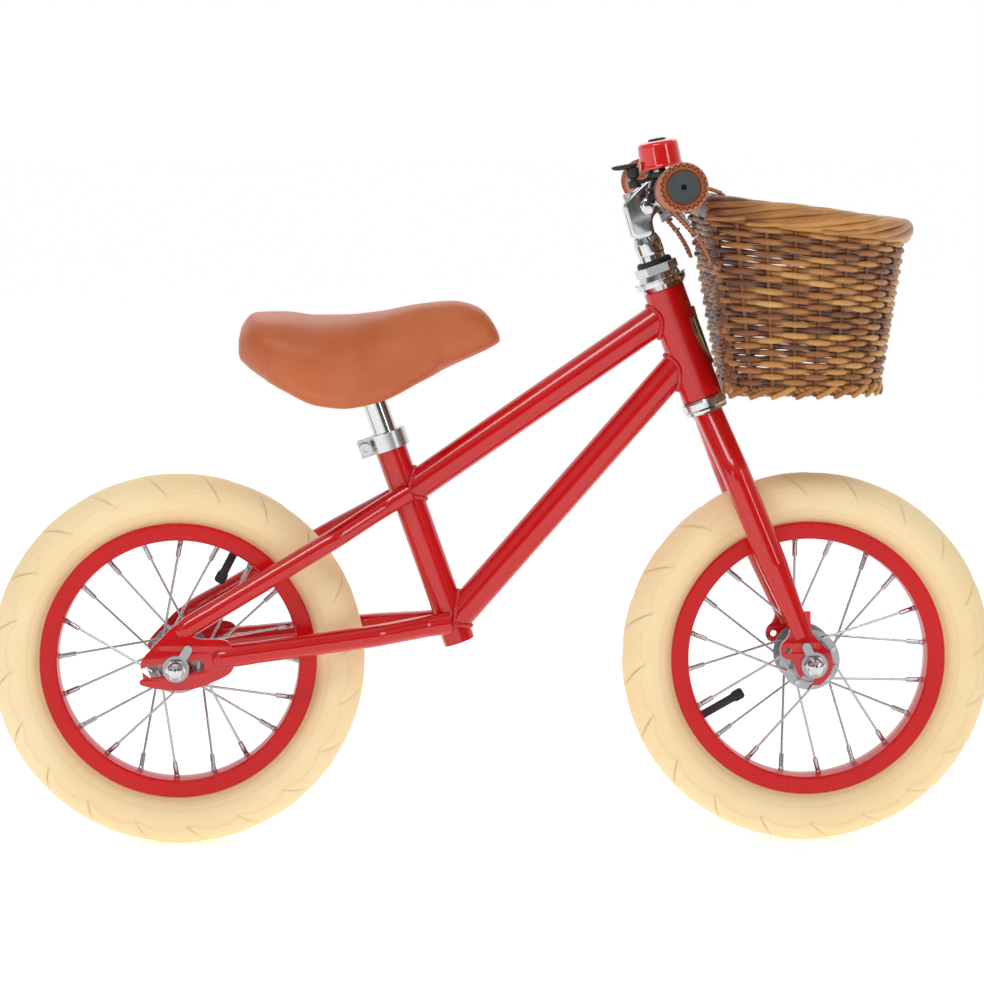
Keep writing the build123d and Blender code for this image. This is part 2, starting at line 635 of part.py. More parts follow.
with BuildPart() as basket_rim:
    with BuildSketch(RIM_PLANE):
        for a, w, c, r, m in ((88.5, 116.5, -12.0, 20.0, Mode.ADD), (73.5, 101.5, -12.0, 8.0, Mode.SUBTRACT)):
            with BuildLine():
                Line((-a, -w + r), (-a, w - r))
                RadiusArc((-a, w - r), (-a + r, w), r)
                Line((-a + r, w), (c, w))
                ThreePointArc((c, w), (a, 0), (c, -w))
                Line((c, -w), (-a + r, -w))
                RadiusArc((-a + r, -w), (-a, -w + r), r)
            make_face(mode=m)
    extrude(amount=RIM_H)
save(basket_rim.part, "basket_rim")

# leather straps: a loop round the bar, a run over the rim, a hanging tail
STRAP = Plane(origin=(0, -STRAP_Y, 0), x_dir=(1, 0, 0), z_dir=(0, -1, 0))
STRAP_W = 8.0
with BuildPart() as strap:
    with BuildSketch(STRAP):
        with Locations((BAR_X, BAR_Z)):
            Circle(13.8)
        with BuildLine():
            Polyline((139.5, 541.2), (164.0, 528.6), (163.2, 525.6), (139.5, 537.0), close=True)
        make_face()
        with BuildLine():
            Polyline((127.25, 518.25), (146.9, 498.6), (154.6, 489.4), (161.4, 477.9), (163.4, 479.1),
                     (156.5, 490.8), (148.7, 500.2), (129.0, 519.9), close=True)
        make_face()
        with Locations((BAR_X, BAR_Z)):
            Circle(11.5, mode=Mode.SUBTRACT)
    extrude(amount=STRAP_W, both=True)
save(mirrored(strap.part.solids().sort_by(SortBy.VOLUME)[-1]), "basket_straps")

with BuildPart() as buckle:
    with BuildSketch(Plane(origin=(143.3, -STRAP_Y, 505.7), x_dir=(0, 1, 0), z_dir=(1, 0, 1))):
        RectangleRounded(22, 15, 2.5)
        RectangleRounded(17.2, 10, 1.2, mode=Mode.SUBTRACT)
        Rectangle(2.0, 15)
    extrude(amount=2.0)
save(mirrored(buckle.part.solids().sort_by(SortBy.VOLUME)[-1]), "strap_buckles")

# ============================== WHEELS =====================================
# (name, hub x, half over-locknut width, flange y, spoke phase, valve angle)
WHEELS = (("front", HALF_BASE, FRONT_IN_Y, 23.0, 96.3, 209.6),
          ("rear", -HALF_BASE, REAR_IN_Y, 27.0, 88.8, 62.4))
LACE = 36.0              # degrees between a spoke's two ends
SLEEVE_A, SLEEVE_R = 4.65, 99.1   # half angle and top of the rim's joint sleeve

for tag, hx, old, fy, phase, valve in WHEELS:
    HUB = Plane(origin=(hx, 0, HUB_Z))            # sketch x is the radius, y the axle
    WAX = Axis((hx, 0, HUB_Z), (0, 1, 0))
    FACE = Plane(origin=(hx, 0, HUB_Z), x_dir=(1, 0, 0), z_dir=(0, -1, 0))

    with BuildPart() as tyre:
        with BuildSketch(HUB):
            with BuildLine():
                Line((101.6, 11.8), (110.8, 11.8))
                Spline((110.8, 11.8), (117, 20.0), (128, TYRE_W), (139, 21.0), (146.6, 12.0), (TYRE_R, 0),
                       (146.6, -12.0), (139, -21.0), (128, -TYRE_W), (117, -20.0), (110.8, -11.8))
                Line((110.8, -11.8), (101.6, -11.8))
                Line((101.6, -11.8), (101.6, -8.6))
                Line((101.6, -8.6), (111.5, -8.6))
                Spline((111.5, -8.6), (118.5, -17.4), (128, -20.6), (137, -18.2), (142.6, -10.6), (145.2, 0),
                       (142.6, 10.6), (137, 18.2), (128, 20.6), (118.5, 17.4), (111.5, 8.6))
                Line((111.5, 8.6), (101.6, 8.6))
                Line((101.6, 8.6), (101.6, 11.8))
            make_face()
        revolve(axis=WAX)
    save(tyre.part, f"{tag}_tyre")

    with BuildPart() as rim:
        with BuildSketch(HUB):
            with BuildLine():
                Polyline((RIM_OUT_R, 14.2), (RIM_OUT_R, 11.9), (BEAD_R, 11.9), (BEAD_R, 7.5),
                         (98.0, 5.5), (98.0, -5.5), (BEAD_R, -7.5), (BEAD_R, -11.9),
                         (RIM_OUT_R, -11.9), (RIM_OUT_R, -14.2), (97.5, -14.2), (96.6, -9.0),
                         (RIM_IN_R, -4.5), (RIM_IN_R, 4.5), (96.6, 9.0), (97.5, 14.2), close=True)
            make_face()
        revolve(axis=WAX)
        # valve hole, and the joint sleeve opposite it that balances the valve
        with BuildSketch(Plane(origin=(hx, 0, HUB_Z), x_dir=(0, 1, 0),
                               z_dir=(math.cos(math.radians(valve)), 0, math.sin(math.radians(valve))))):
            Circle(4.1)
        extrude(amount=105, mode=Mode.SUBTRACT)
        with BuildSketch(FACE):
            with BuildLine():
                CenterArc((0, 0), SLEEVE_R, valve + 180 - SLEEVE_A, 2 * SLEEVE_A)
                Line((SLEEVE_R * math.cos(math.radians(valve + 180 + SLEEVE_A)), SLEEVE_R * math.sin(math.radians(valve + 180 + SLEEVE_A))),
                     (97.9 * math.cos(math.radians(valve + 180 + SLEEVE_A)), 97.9 * math.sin(math.radians(valve + 180 + SLEEVE_A))))
                CenterArc((0, 0), 97.9, valve + 180 + SLEEVE_A, -2 * SLEEVE_A)
                Line((97.9 * math.cos(math.radians(valve + 180 - SLEEVE_A)), 97.9 * math.sin(math.radians(valve + 180 - SLEEVE_A))),
                     (SLEEVE_R * math.cos(math.radians(valve + 180 - SLEEVE_A)), SLEEVE_R * math.sin(math.radians(valve + 180 - SLEEVE_A))))
            make_face()
        extrude(amount=5.4, both=True)
    save(rim.part, f"{tag}_rim")

    # inner tube: a thin torus with its valve stem reaching in through the rim
    VALVE = Plane(origin=(hx, 0, HUB_Z), x_dir=(0, 1, 0),
                  z_dir=(math.cos(math.radians(valve)), 0, math.sin(math.radians(valve))))
    with BuildPart() as tube:
        with BuildSketch(HUB):
            with Locations((126.5, 0)):
                Circle(14.5)
                Circle(13.3, mode=Mode.SUBTRACT)
        revolve(axis=WAX)
        with BuildSketch(VALVE.offset(66)):
            Circle(3.9)
        extrude(amount=46.8)
    with BuildPart() as cap:
        with BuildSketch(VALVE.offset(62)):
            Circle(4.4)
        extrude(amount=12)
        with BuildSketch(VALVE.offset(66)):
            Circle(3.9)
        extrude(amount=10, mode=Mode.SUBTRACT)
    save(Compound(children=[tube.part.solids().sort_by(SortBy.VOLUME)[-1], cap.part.solid()]), f"{tag}_inner_tube")

    # laced spokes: ten to each flange, alternately leading and trailing
    spoke_list = []
    for k in range(SPOKES):
        side = 1 if k % 2 == 0 else -1                    # +1 is the y < 0 side
        lead = 1 if ((k + 1) // 2) % 2 == 0 else -1
        ph = math.radians(phase + k * 360.0 / SPOKES)
        th = ph + lead * math.radians(LACE)
        out = 3.8 if lead > 0 else 2.2                    # clearance over the flange's edge
        zf = side * (fy + lead * out)
        hub_p = Vector(*FACE.from_local_coords((HOLE_CIRCLE_R * math.cos(th), HOLE_CIRCLE_R * math.sin(th), zf)))
        rim_p = Vector(*FACE.from_local_coords((95.1 * math.cos(ph), 95.1 * math.sin(ph), side * 3.0)))
        run = rim_p - hub_p
        with BuildPart() as spoke:
            with BuildSketch(Plane(origin=hub_p, z_dir=run)):
                Circle(SPOKE_R)
            extrude(amount=run.length - 2)
            with BuildSketch(Plane(origin=rim_p - run * (12.5 / run.length), z_dir=run)):
                Circle(NIPPLE_R)
            extrude(amount=12.5)
            # elbow through the flange and the spoke's head
            with BuildSketch(Plane(origin=hub_p, z_dir=(0, 1, 0))):
                Circle(SPOKE_R)
            extrude(amount=side * lead * (out + 2.0))
            with BuildSketch(Plane(origin=hub_p + Vector(0, side * lead * (out + 1.2), 0), z_dir=(0, 1, 0))):
                Circle(1.9)
            extrude(amount=side * lead * 1.0)
        spoke_list.append(spoke.part.solids().sort_by(SortBy.VOLUME)[-1])
    save(Compound(children=spoke_list), f"{tag}_spokes")

    # hub shell with two flanges, bored for the bearings
    he = fy + 9.0
    with BuildPart() as hub:
        with BuildSketch(HUB):
            with BuildLine():
                Polyline((8.8, -fy + 1), (12.4, -fy + 1), (12.4, -he), (15.5, -he), (16.0, -fy - 3),
                         (18.0, -fy - 1.0), (FLANGE_R, -fy - 1.0), (FLANGE_R, -fy + 1.0), (17.0, -fy + 1.0),
                         (14.0, -fy + 6), (14.0, fy - 6), (17.0, fy - 1.0), (FLANGE_R, fy - 1.0),
                         (FLANGE_R, fy + 1.0), (18.0, fy + 1.0), (16.0, fy + 3), (15.5, he), (12.4, he),
                         (12.4, fy - 1), (8.8, fy - 1), close=True)
            make_face()
        revolve(axis=WAX)
        for k in range(SPOKES):
            side = 1 if k % 2 == 0 else -1
            lead = 1 if ((k + 1) // 2) % 2 == 0 else -1
            th = math.radians(phase + k * 360.0 / SPOKES + lead * LACE)
            with BuildSketch(FACE.offset(side * fy - 2)):
                with Locations((HOLE_CIRCLE_R * math.cos(th), HOLE_CIRCLE_R * math.sin(th))):
                    Circle(1.25)
            extrude(amount=4, mode=Mode.SUBTRACT)
    save(hub.part, f"{tag}_hub")

    with BuildPart() as bearings:
        for sgn in (1, -1):
            with BuildSketch(HUB):
                with Locations((10.25, sgn * (fy + 2.0))):
                    Rectangle(4.3, 6.0)
            revolve(axis=WAX)
    save(bearings.part, f"{tag}_bearings")

    # axle, cones with their locknuts, outer washers and domed nuts
    with BuildPart() as axle:
        with BuildSketch(FACE.offset(-(old + 13))):
            Circle(AXLE_R)
        extrude(amount=2 * (old + 13))
    save(axle.part, f"{tag}_axle")

    with BuildPart() as cone:
        with BuildSketch(FACE.offset(fy - 1.5)):
            Circle(8.05)
            Circle(AXLE_R, mode=Mode.SUBTRACT)
        extrude(amount=14)
        with BuildSketch(FACE.offset(fy + 12.5)):
            RegularPolygon(7.6, 6, major_radius=False)
            Circle(AXLE_R, mode=Mode.SUBTRACT)
        extrude(amount=old - fy - 12.5)
    save(mirrored(cone.part.solid()), f"{tag}_cones")

    # retention washer: a teardrop whose tab sits in a hole of the plate
    tab = (9.6, 15.4) if tag == "rear" else (-6.4, 14.6)
    tdir = math.degrees(math.atan2(tab[1], tab[0]))
    with BuildPart() as washer:
        with BuildSketch(FACE.offset(old + PLATE_T)):
            Circle(10.5)
            with Locations(Location((tab[0] * 0.5, tab[1] * 0.5, 0), (0, 0, tdir))):
                Rectangle(17, 7.0)
            with Locations(tab):
                Circle(3.5)
            Circle(AXLE_R, mode=Mode.SUBTRACT)
        extrude(amount=1.6)
    save(mirrored(washer.part.solid()), f"{tag}_washers")

    nut_y = old + PLATE_T + 1.6
    with BuildPart() as nut:
        with BuildSketch(FACE.offset(nut_y)):
            RegularPolygon(7.0, 6, major_radius=False)
        extrude(amount=6.0)
        with BuildSketch(HUB):
            with BuildLine():
                Polyline((0, -nut_y - 5.5), (6.7, -nut_y - 5.5), (6.7, -nut_y - 8.0), (5.9, -nut_y - 10.6),
                         (4.2, -nut_y - 12.4), (2.0, -nut_y - 13.2), (0, -nut_y - 13.4), close=True)
            make_face()
        revolve(axis=WAX)
        with BuildSketch(FACE.offset(nut_y - 1)):
            Circle(AXLE_R)
        extrude(amount=old + 13 - nut_y + 1, mode=Mode.SUBTRACT)
    save(mirrored(nut.part.solid()), f"{tag}_axle_nuts")

# ============================== SADDLE =====================================
TILT_X, TILT_Z = -108.6, 389.0
with BuildPart() as seatpost:
    with BuildSketch(SEAT.offset(85)):
        Circle(POST_R)
        Circle(POST_R - 1.8, mode=Mode.SUBTRACT)
    extrude(amount=158)
save(seatpost.part, "seatpost")

with BuildPart() as saddle_clamp:
    with BuildSketch(SEAT.offset(226)):
        Circle(14.0)
    extrude(amount=17)
    with BuildSketch(Plane(origin=(TILT_X, 0, TILT_Z), x_dir=(1, 0, 0), z_dir=(0, 1, 0))):
        Circle(4.0)
    extrude(amount=33, both=True)
    with BuildSketch(Plane(origin=(TILT_X, -33, TILT_Z), x_dir=(1, 0, 0), z_dir=(0, 1, 0))):
        RegularPolygon(6.2, 6, major_radius=False)
    extrude(amount=4)
    with BuildSketch(Plane(origin=(TILT_X, 33, TILT_Z), x_dir=(1, 0, 0), z_dir=(0, -1, 0))):
        RegularPolygon(6.2, 6, major_radius=False)
    extrude(amount=4)
    with BuildSketch(SEAT.offset(200)):
        Circle(POST_R)
    extrude(amount=43, mode=Mode.SUBTRACT)
CLAMP = Compound(children=list(saddle_clamp.part.solids()))
save(CLAMP if len(saddle_clamp.part.solids()) > 1 else saddle_clamp.part, "saddle_clamp")

RAIL_Y, RAIL_Z, RAIL_R = 21.0, 399.5, 3.5
with BuildPart() as saddle_cheeks:
    with BuildSketch(Plane(origin=(TILT_X, -15.5, 0), x_dir=(1, 0, 0), z_dir=(0, -1, 0))):
        with Locations((0, (382.0 + 405.0) / 2)):
            RectangleRounded(26, 23, 5)
        with Locations((0, TILT_Z)):
            Circle(4.06, mode=Mode.SUBTRACT)
    extrude(amount=12)
    with BuildSketch(Plane(origin=(TILT_X - 20, -RAIL_Y, RAIL_Z), z_dir=(1, 0, 0))):
        Circle(RAIL_R)
    extrude(amount=40, mode=Mode.SUBTRACT)
save(mirrored(saddle_cheeks.part.solid()), "saddle_cheeks")

with BuildPart() as rail:
    with BuildLine() as rail_path:
        Polyline((-170, -30, 405.6), (-150, -RAIL_Y, RAIL_Z), (-84, -RAIL_Y, RAIL_Z), (-62, -14, 405.2))
    with BuildSketch(Plane(origin=(-150, -RAIL_Y, RAIL_Z), z_dir=(1, 0, 0))):
        Circle(RAIL_R)
    extrude(amount=66)
    with BuildSketch(Plane(origin=(-150, -RAIL_Y, RAIL_Z), z_dir=(-20, -9, 5.5))):
        Circle(RAIL_R)
    extrude(amount=21)
    with BuildSketch(Plane(origin=(-84, -RAIL_Y, RAIL_Z), z_dir=(22, 7, 5.2))):
        Circle(RAIL_R)
    extrude(amount=22)
    with Locations((-150, -RAIL_Y, RAIL_Z), (-84, -RAIL_Y, RAIL_Z)):
        Sphere(RAIL_R)
save(mirrored(rail.part.solids().sort_by(SortBy.VOLUME)[-1]), "saddle_rails")

CAVITY = ((-182, 46), (-170, 54), (-145, 58), (-120, 51), (-90, 36), (-64, 22), (-48, 13))
with BuildPart() as saddle_base:
    with BuildSketch(Plane.XY.offset(410.0)):
        with BuildLine():
            Polyline(*[(x, y) for x, y in CAVITY], *[(x, -y) for x, y in reversed(CAVITY)], close=True)
        make_face()
    extrude(amount=3.5)
save(saddle_base.part, "saddle_base")

# moulded cover: broad at the rear, a narrow nose, deep skirts in the middle
SECTIONS = ((-204.0, 411.0, 397.0, 34.0), (-200.0, 423.5, 390.0, 47.0), (-190.0, 430.5, 381.5, 60.0),
            (-168.0, 431.3, 367.0, 71.0), (-142.0, 428.6, 354.5, 73.0), (-120.0, 428.2, 351.2, 65.0),
            (-92.0, 430.4, 356.6, 49.0), (-60.0, 436.0, 373.4, 35.0), (-34.0, 438.2, 387.0, 27.5),
            (-14.0, 433.0, 396.2, 22.0), (0.0, 418.0, 402.8, 14.0), (4.0, 411.5, 405.5, 9.0))
with BuildPart() as saddle_cover:
    for x, zt, zb, w in SECTIONS:
        h = zt - zb
        with BuildSketch(Plane(origin=(x, 0, (zt + zb) / 2), x_dir=(0, 1, 0), z_dir=(1, 0, 0))):
            RectangleRounded(2 * w, h, 0.42 * min(2 * w, h))
    loft()
    with BuildSketch(Plane.XY.offset(345)):
        with BuildLine():
            Polyline(*[(x, y) for x, y in CAVITY], *[(x, -y) for x, y in reversed(CAVITY)], close=True)
        make_face()
    extrude(amount=413.5 - 345, mode=Mode.SUBTRACT)
save(saddle_cover.part.solids().sort_by(SortBy.VOLUME)[-1], "saddle_cover")

print("parts:", len(os.listdir("parts")))
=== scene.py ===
import bpy
import bmesh
import math
import random
import numpy as np
from mathutils import Matrix, Vector


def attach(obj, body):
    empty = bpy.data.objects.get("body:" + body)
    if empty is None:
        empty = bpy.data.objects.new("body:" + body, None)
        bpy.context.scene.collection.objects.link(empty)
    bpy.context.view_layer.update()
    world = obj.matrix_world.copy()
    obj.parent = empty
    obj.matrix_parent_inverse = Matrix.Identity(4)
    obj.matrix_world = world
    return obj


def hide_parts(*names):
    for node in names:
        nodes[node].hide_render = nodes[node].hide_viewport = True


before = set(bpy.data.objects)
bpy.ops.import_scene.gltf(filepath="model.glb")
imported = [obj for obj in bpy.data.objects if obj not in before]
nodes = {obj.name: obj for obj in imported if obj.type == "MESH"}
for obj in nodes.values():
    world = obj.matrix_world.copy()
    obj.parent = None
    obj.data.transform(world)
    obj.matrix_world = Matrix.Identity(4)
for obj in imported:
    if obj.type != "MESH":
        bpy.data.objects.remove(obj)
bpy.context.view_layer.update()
MM = 0.001
scene = bpy.context.scene
scene.view_settings.view_transform = "Standard"

# ---------------------------------------------------------------- geometry frames
HT = math.radians(20.0)
C20, S20 = math.cos(HT), math.sin(HT)
A0 = np.array([152.2, 0.0, 403.6])
U_ST = np.array([-S20, 0.0, C20])       # up the steering axis
T_ST = np.array([C20, 0.0, S20])        # forward, square to it
Y = np.array([0.0, 1.0, 0.0])


def steer(t, s, y=0.0):
    return A0 + t * T_ST + s * U_ST + y * Y


# ---------------------------------------------------------------- material helpers
MATS = {}


class Mat:
    """A node material with a few shortcuts. Texture scales are per metre."""

    def __init__(self, name, color, rough=0.5, metal=0.0, **kw):
        m = bpy.data.materials.new(name)
        m.use_nodes = True
        self.m, self.nt = m, m.node_tree
        self.b = self.nt.nodes["Principled BSDF"]
        self.b.inputs["Base Color"].default_value = (*color, 1)
        self.b.inputs["Roughness"].default_value = rough
        self.b.inputs["Metallic"].default_value = metal
        for k, v in kw.items():
            self.b.inputs[k.replace("_", " ")].default_value = v
        self.tc = self.nt.nodes.new("ShaderNodeTexCoord")
        MATS[name] = self

    def node(self, kind, **kw):
        n = self.nt.nodes.new(kind)
        for k, v in kw.items():
            setattr(n, k, v)
        return n

    def link(self, a, b):
        self.nt.links.new(a, b)

    def coords(self, stretch=None, out="Object"):
        if stretch is None:
            return self.tc.outputs[out]
        mp = self.node("ShaderNodeMapping")
        mp.inputs["Scale"].default_value = stretch
        self.link(self.tc.outputs[out], mp.inputs["Vector"])
        return mp.outputs["Vector"]

    def noise(self, scale, detail=3.0, rough=0.5, stretch=None, out="Object", dist=0.0):
        n = self.node("ShaderNodeTexNoise")
        n.inputs["Scale"].default_value = scale
        n.inputs["Detail"].default_value = detail
        n.inputs["Roughness"].default_value = rough
        n.inputs["Distortion"].default_value = dist
        self.link(self.coords(stretch, out), n.inputs["Vector"])
        return n.outputs["Fac"]

    def voronoi(self, scale, feature="F1", stretch=None, randomness=1.0):
        n = self.node("ShaderNodeTexVoronoi", feature=feature)
        n.inputs["Scale"].default_value = scale
        n.inputs["Randomness"].default_value = randomness
        self.link(self.coords(stretch), n.inputs["Vector"])
        return n.outputs["Distance"]

    def attr(self, name):
        n = self.node("ShaderNodeAttribute", attribute_name=name)
        return n.outputs["Fac"]

    def ramp(self, fac, stops):
        r = self.node("ShaderNodeValToRGB")
        el = r.color_ramp.elements
        while len(el) < len(stops):
            el.new(0.5)
        for e, (p, c) in zip(el, stops):
            e.position = p
            e.color = (*c, 1) if len(c) == 3 else c
        self.link(fac, r.inputs["Fac"])
        return r.outputs["Color"]

    def gray(self, fac, lo, hi, a=0.0, b=1.0):
        mr = self.node("ShaderNodeMapRange")
        mr.inputs["From Min"].default_value = a
        mr.inputs["From Max"].default_value = b
        mr.inputs["To Min"].default_value = lo
        mr.inputs["To Max"].default_value = hi
        self.link(fac, mr.inputs["Value"])
        return mr.outputs["Result"]

    def math(self, op, a, b):
        n = self.node("ShaderNodeMath", operation=op)
        for i, v in enumerate((a, b)):
            if isinstance(v, (int, float)):
                n.inputs[i].default_value = v
            else:
                self.link(v, n.inputs[i])
        return n.outputs[0]

    def mix(self, fac, a, b, mode="MIX"):
        n = self.node("ShaderNodeMix", data_type="RGBA", blend_type=mode)
        if isinstance(fac, (int, float)):
            n.inputs[0].default_value = fac
        else:
            self.link(fac, n.inputs[0])
        for i, v in ((6, a), (7, b)):
            if isinstance(v, tuple):
                n.inputs[i].default_value = (*v, 1)
            else:
                self.link(v, n.inputs[i])
        return n.outputs[2]

    def color(self, c):
        self.link(c, self.b.inputs["Base Color"])
        return self

    def rough(self, f, lo, hi):
        self.link(self.gray(f, lo, hi), self.b.inputs["Roughness"])
        return self

    def bump(self, height, dist, strength=1.0):
        n = self.node("ShaderNodeBump")
        n.inputs["Strength"].default_value = strength
        n.inputs["Distance"].default_value = dist
        self.link(height, n.inputs["Height"])
        prev = self.b.inputs["Normal"].links
        if prev:
            self.link(prev[0].from_socket, n.inputs["Normal"])
        self.link(n.outputs["Normal"], self.b.inputs["Normal"])
        return self


def srgb(r, g, b):
    def f(c):
        c /= 255.0
        return c / 12.92 if c <= 0.04045 else ((c + 0.055) / 1.055) ** 2.4
    return (f(r), f(g), f(b))


def mixc(a, b, t):
    return tuple(x * (1 - t) + y * t for x, y in zip(a, b))


# ---- glossy red enamel over steel tube, with a faint orange peel and dust
def enamel(name, c, rough=0.16):
    m = Mat(name, c, rough, Coat_Weight=0.75, Coat_Roughness=0.05, Coat_IOR=1.5)
    big = m.noise(9, 3)
    fine = m.noise(420, 2)
    m.color(m.ramp(big, [(0.3, mixc(c, (c[0] * 0.78, c[1] * 0.6, c[2] * 0.6), 0.6)), (0.7, c)]))
    m.rough(m.noise(60, 4, 0.6), rough - 0.05, rough + 0.09)
    m.bump(fine, 0.00006, 0.35)
    m.bump(m.noise(120, 2), 0.00012, 0.25)
    return m


RED = enamel("frame_red_enamel", srgb(205, 8, 16))
RIM = enamel("rim_red_enamel", srgb(208, 6, 14), 0.26)
for _m, _coat, _spec in ((RED, 0.6, 0.35), (RIM, 0.2, 0.25)):
    _b = _m.m.node_tree.nodes["Principled BSDF"]
    _b.inputs["Coat Weight"].default_value = _coat
    _b.inputs["Specular IOR Level"].default_value = _spec
BELLR = enamel("bell_red_enamel", srgb(232, 26, 18), 0.12)


def metal(name, c, rough, spread=0.08, fine=0.00002, scale=240, brush=None):
    m = Mat(name, c, rough, 1.0)
    n = m.noise(scale if brush is None else 90, 4, 0.65, stretch=brush)
    m.color(m.mix(m.gray(m.noise(35, 3), 0.0, 1.0), tuple(x * 0.86 for x in c), c))
    m.rough(n, max(0.02, rough - spread), rough + spread)
    m.bump(n, fine, 0.5)
    return m


CHROME = metal("polished_chrome", (0.68, 0.69, 0.70), 0.09, 0.05, 0.00001)
STEEL = metal("zinc_steel", (0.44, 0.45, 0.46), 0.30, 0.10, 0.00003)
ALLOY = metal("satin_alloy", (0.70, 0.71, 0.72), 0.27, 0.08, 0.00002)
BEARING = metal("bearing_steel", (0.5, 0.5, 0.5), 0.2, 0.05)
SPOKE = metal("spoke_steel", (0.54, 0.55, 0.56), 0.24, 0.07, 0.00001)

CREAM = Mat("cream_rubber", srgb(252, 226, 176), 0.62, Specular_IOR_Level=0.3)
_n = CREAM.noise(14, 4, 0.6)
# painted shade: a point attribute mixes the cream towards a darker tan in the tread grooves, along the scalloped tread
# edge and in a band beside the rim
CREAM.color(CREAM.mix(CREAM.attr("groove"), CREAM.ramp(_n, [(0.25, srgb(249, 221, 168)), (0.75, srgb(253, 231, 186))]),
                      srgb(214, 176, 116)))
CREAM.rough(CREAM.noise(180, 3), 0.5, 0.74)
CREAM.bump(CREAM.noise(900, 3, 0.6), 0.0001, 0.5)
CREAM.bump(CREAM.noise(60, 3), 0.0003, 0.3)

TAN = Mat("tan_saddle_cover", srgb(190, 96, 46), 0.40, Specular_IOR_Level=0.5)
_n = TAN.noise(11, 4, 0.6)
TAN.color(TAN.mix(TAN.gray(TAN.voronoi(1500), 0.25, 0.0, 0.0, 0.5),
                  TAN.ramp(_n, [(0.2, srgb(176, 82, 40)), (0.55, srgb(196, 102, 54)), (0.85, srgb(206, 116, 66))]),
                  srgb(140, 62, 30)))
TAN.rough(TAN.noise(130, 4, 0.7), 0.34, 0.54)
TAN.bump(TAN.voronoi(1500), 0.00012, 0.35)
TAN.bump(TAN.noise(300, 4, 0.7), 0.00015, 0.3)


def leather(name, dark, mid, light, scale=1):
    m = Mat(name, mid, 0.5)
    n = m.noise(26 * scale, 5, 0.65)
    base = m.ramp(n, [(0.22, dark), (0.5, mid), (0.8, light)])
    m.color(m.mix(m.attr("edge"), base, light))
    m.rough(m.noise(140, 4, 0.7), 0.38, 0.64)
    m.bump(m.voronoi(1100), 0.00016, 0.55)
    m.bump(m.noise(240, 5, 0.7), 0.00025, 0.5)
    return m


LEATHER = leather("brown_leather", srgb(120, 52, 24), srgb(164, 80, 40), srgb(196, 120, 76))
THREAD = Mat("waxed_thread", srgb(96, 42, 22), 0.6)
THREAD.color(THREAD.ramp(THREAD.noise(400, 3), [(0.3, srgb(70, 28, 14)), (0.7, srgb(120, 58, 32))]))
THREAD.bump(THREAD.noise(2200, 2, stretch=(1, 1, 1)), 0.0001, 0.6)

PLUG = Mat("grip_plug_plastic", srgb(58, 64, 66), 0.38)
PLUG.color(PLUG.ramp(PLUG.noise(30, 4), [(0.3, srgb(48, 54, 56)), (0.7, srgb(68, 74, 76))]))
PLUG.rough(PLUG.noise(200, 3), 0.3, 0.5)
PLUG.bump(PLUG.noise(900, 3), 0.00005, 0.5)
BLACK = Mat("black_plastic", srgb(24, 24, 25), 0.42)
BLACK.color(BLACK.ramp(BLACK.noise(40, 4), [(0.3, srgb(16, 16, 17)), (0.7, srgb(34, 34, 36))]))
BLACK.rough(BLACK.noise(160, 3), 0.32, 0.55)
BLACK.bump(BLACK.noise(1400, 3), 0.00005, 0.5)
RUBBER = Mat("black_rubber", srgb(26, 26, 27), 0.6)
RUBBER.color(RUBBER.ramp(RUBBER.noise(50, 4), [(0.3, srgb(18, 18, 18)), (0.7, srgb(40, 40, 41))]))
RUBBER.rough(RUBBER.noise(200, 3), 0.5, 0.75)
RUBBER.bump(RUBBER.noise(900, 3), 0.00008, 0.6)

BADGE = Mat("bronze_badge", srgb(112, 84, 56), 0.38, 0.75)
BADGE.color(BADGE.ramp(BADGE.noise(120, 5, 0.6), [(0.25, srgb(72, 58, 46)), (0.6, srgb(122, 94, 64)), (0.85, srgb(158, 130, 96))]))
BADGE.rough(BADGE.noise(300, 4), 0.28, 0.55)
BADGE.bump(BADGE.noise(500, 4), 0.0001, 0.5)
BADGE_EDGE = metal("badge_edge", srgb(200, 180, 150), 0.3)

WICKER = Mat("woven_willow", srgb(176, 116, 62), 0.46, Coat_Weight=0.25, Coat_Roughness=0.3)
# the tone attribute holds each strand's random tone together with painted shade: darker where strands dip behind the
# stakes and towards the back of the basket
_tone_and_shade = WICKER.attr("tone")
_streak = WICKER.noise(1.0, 4, 0.6, stretch=(60, 900, 1), out="UV")
_blot = WICKER.noise(38, 4, 0.6)
_fac = WICKER.math("ADD", WICKER.math("MULTIPLY", _streak, 0.34), WICKER.math("ADD", WICKER.math("MULTIPLY", _blot, 0.22), WICKER.math("MULTIPLY", _tone_and_shade, 0.72)))
WICKER.color(WICKER.ramp(_fac, [(0.20, srgb(44, 20, 8)), (0.40, srgb(98, 52, 22)), (0.58, srgb(158, 98, 42)),
                                (0.76, srgb(200, 144, 72)), (0.95, srgb(226, 182, 112))]))
WICKER.rough(_streak, 0.34, 0.6)
WICKER.bump(_streak, 0.0004, 0.5)
WICKER.bump(WICKER.noise(500, 3), 0.0002, 0.35)


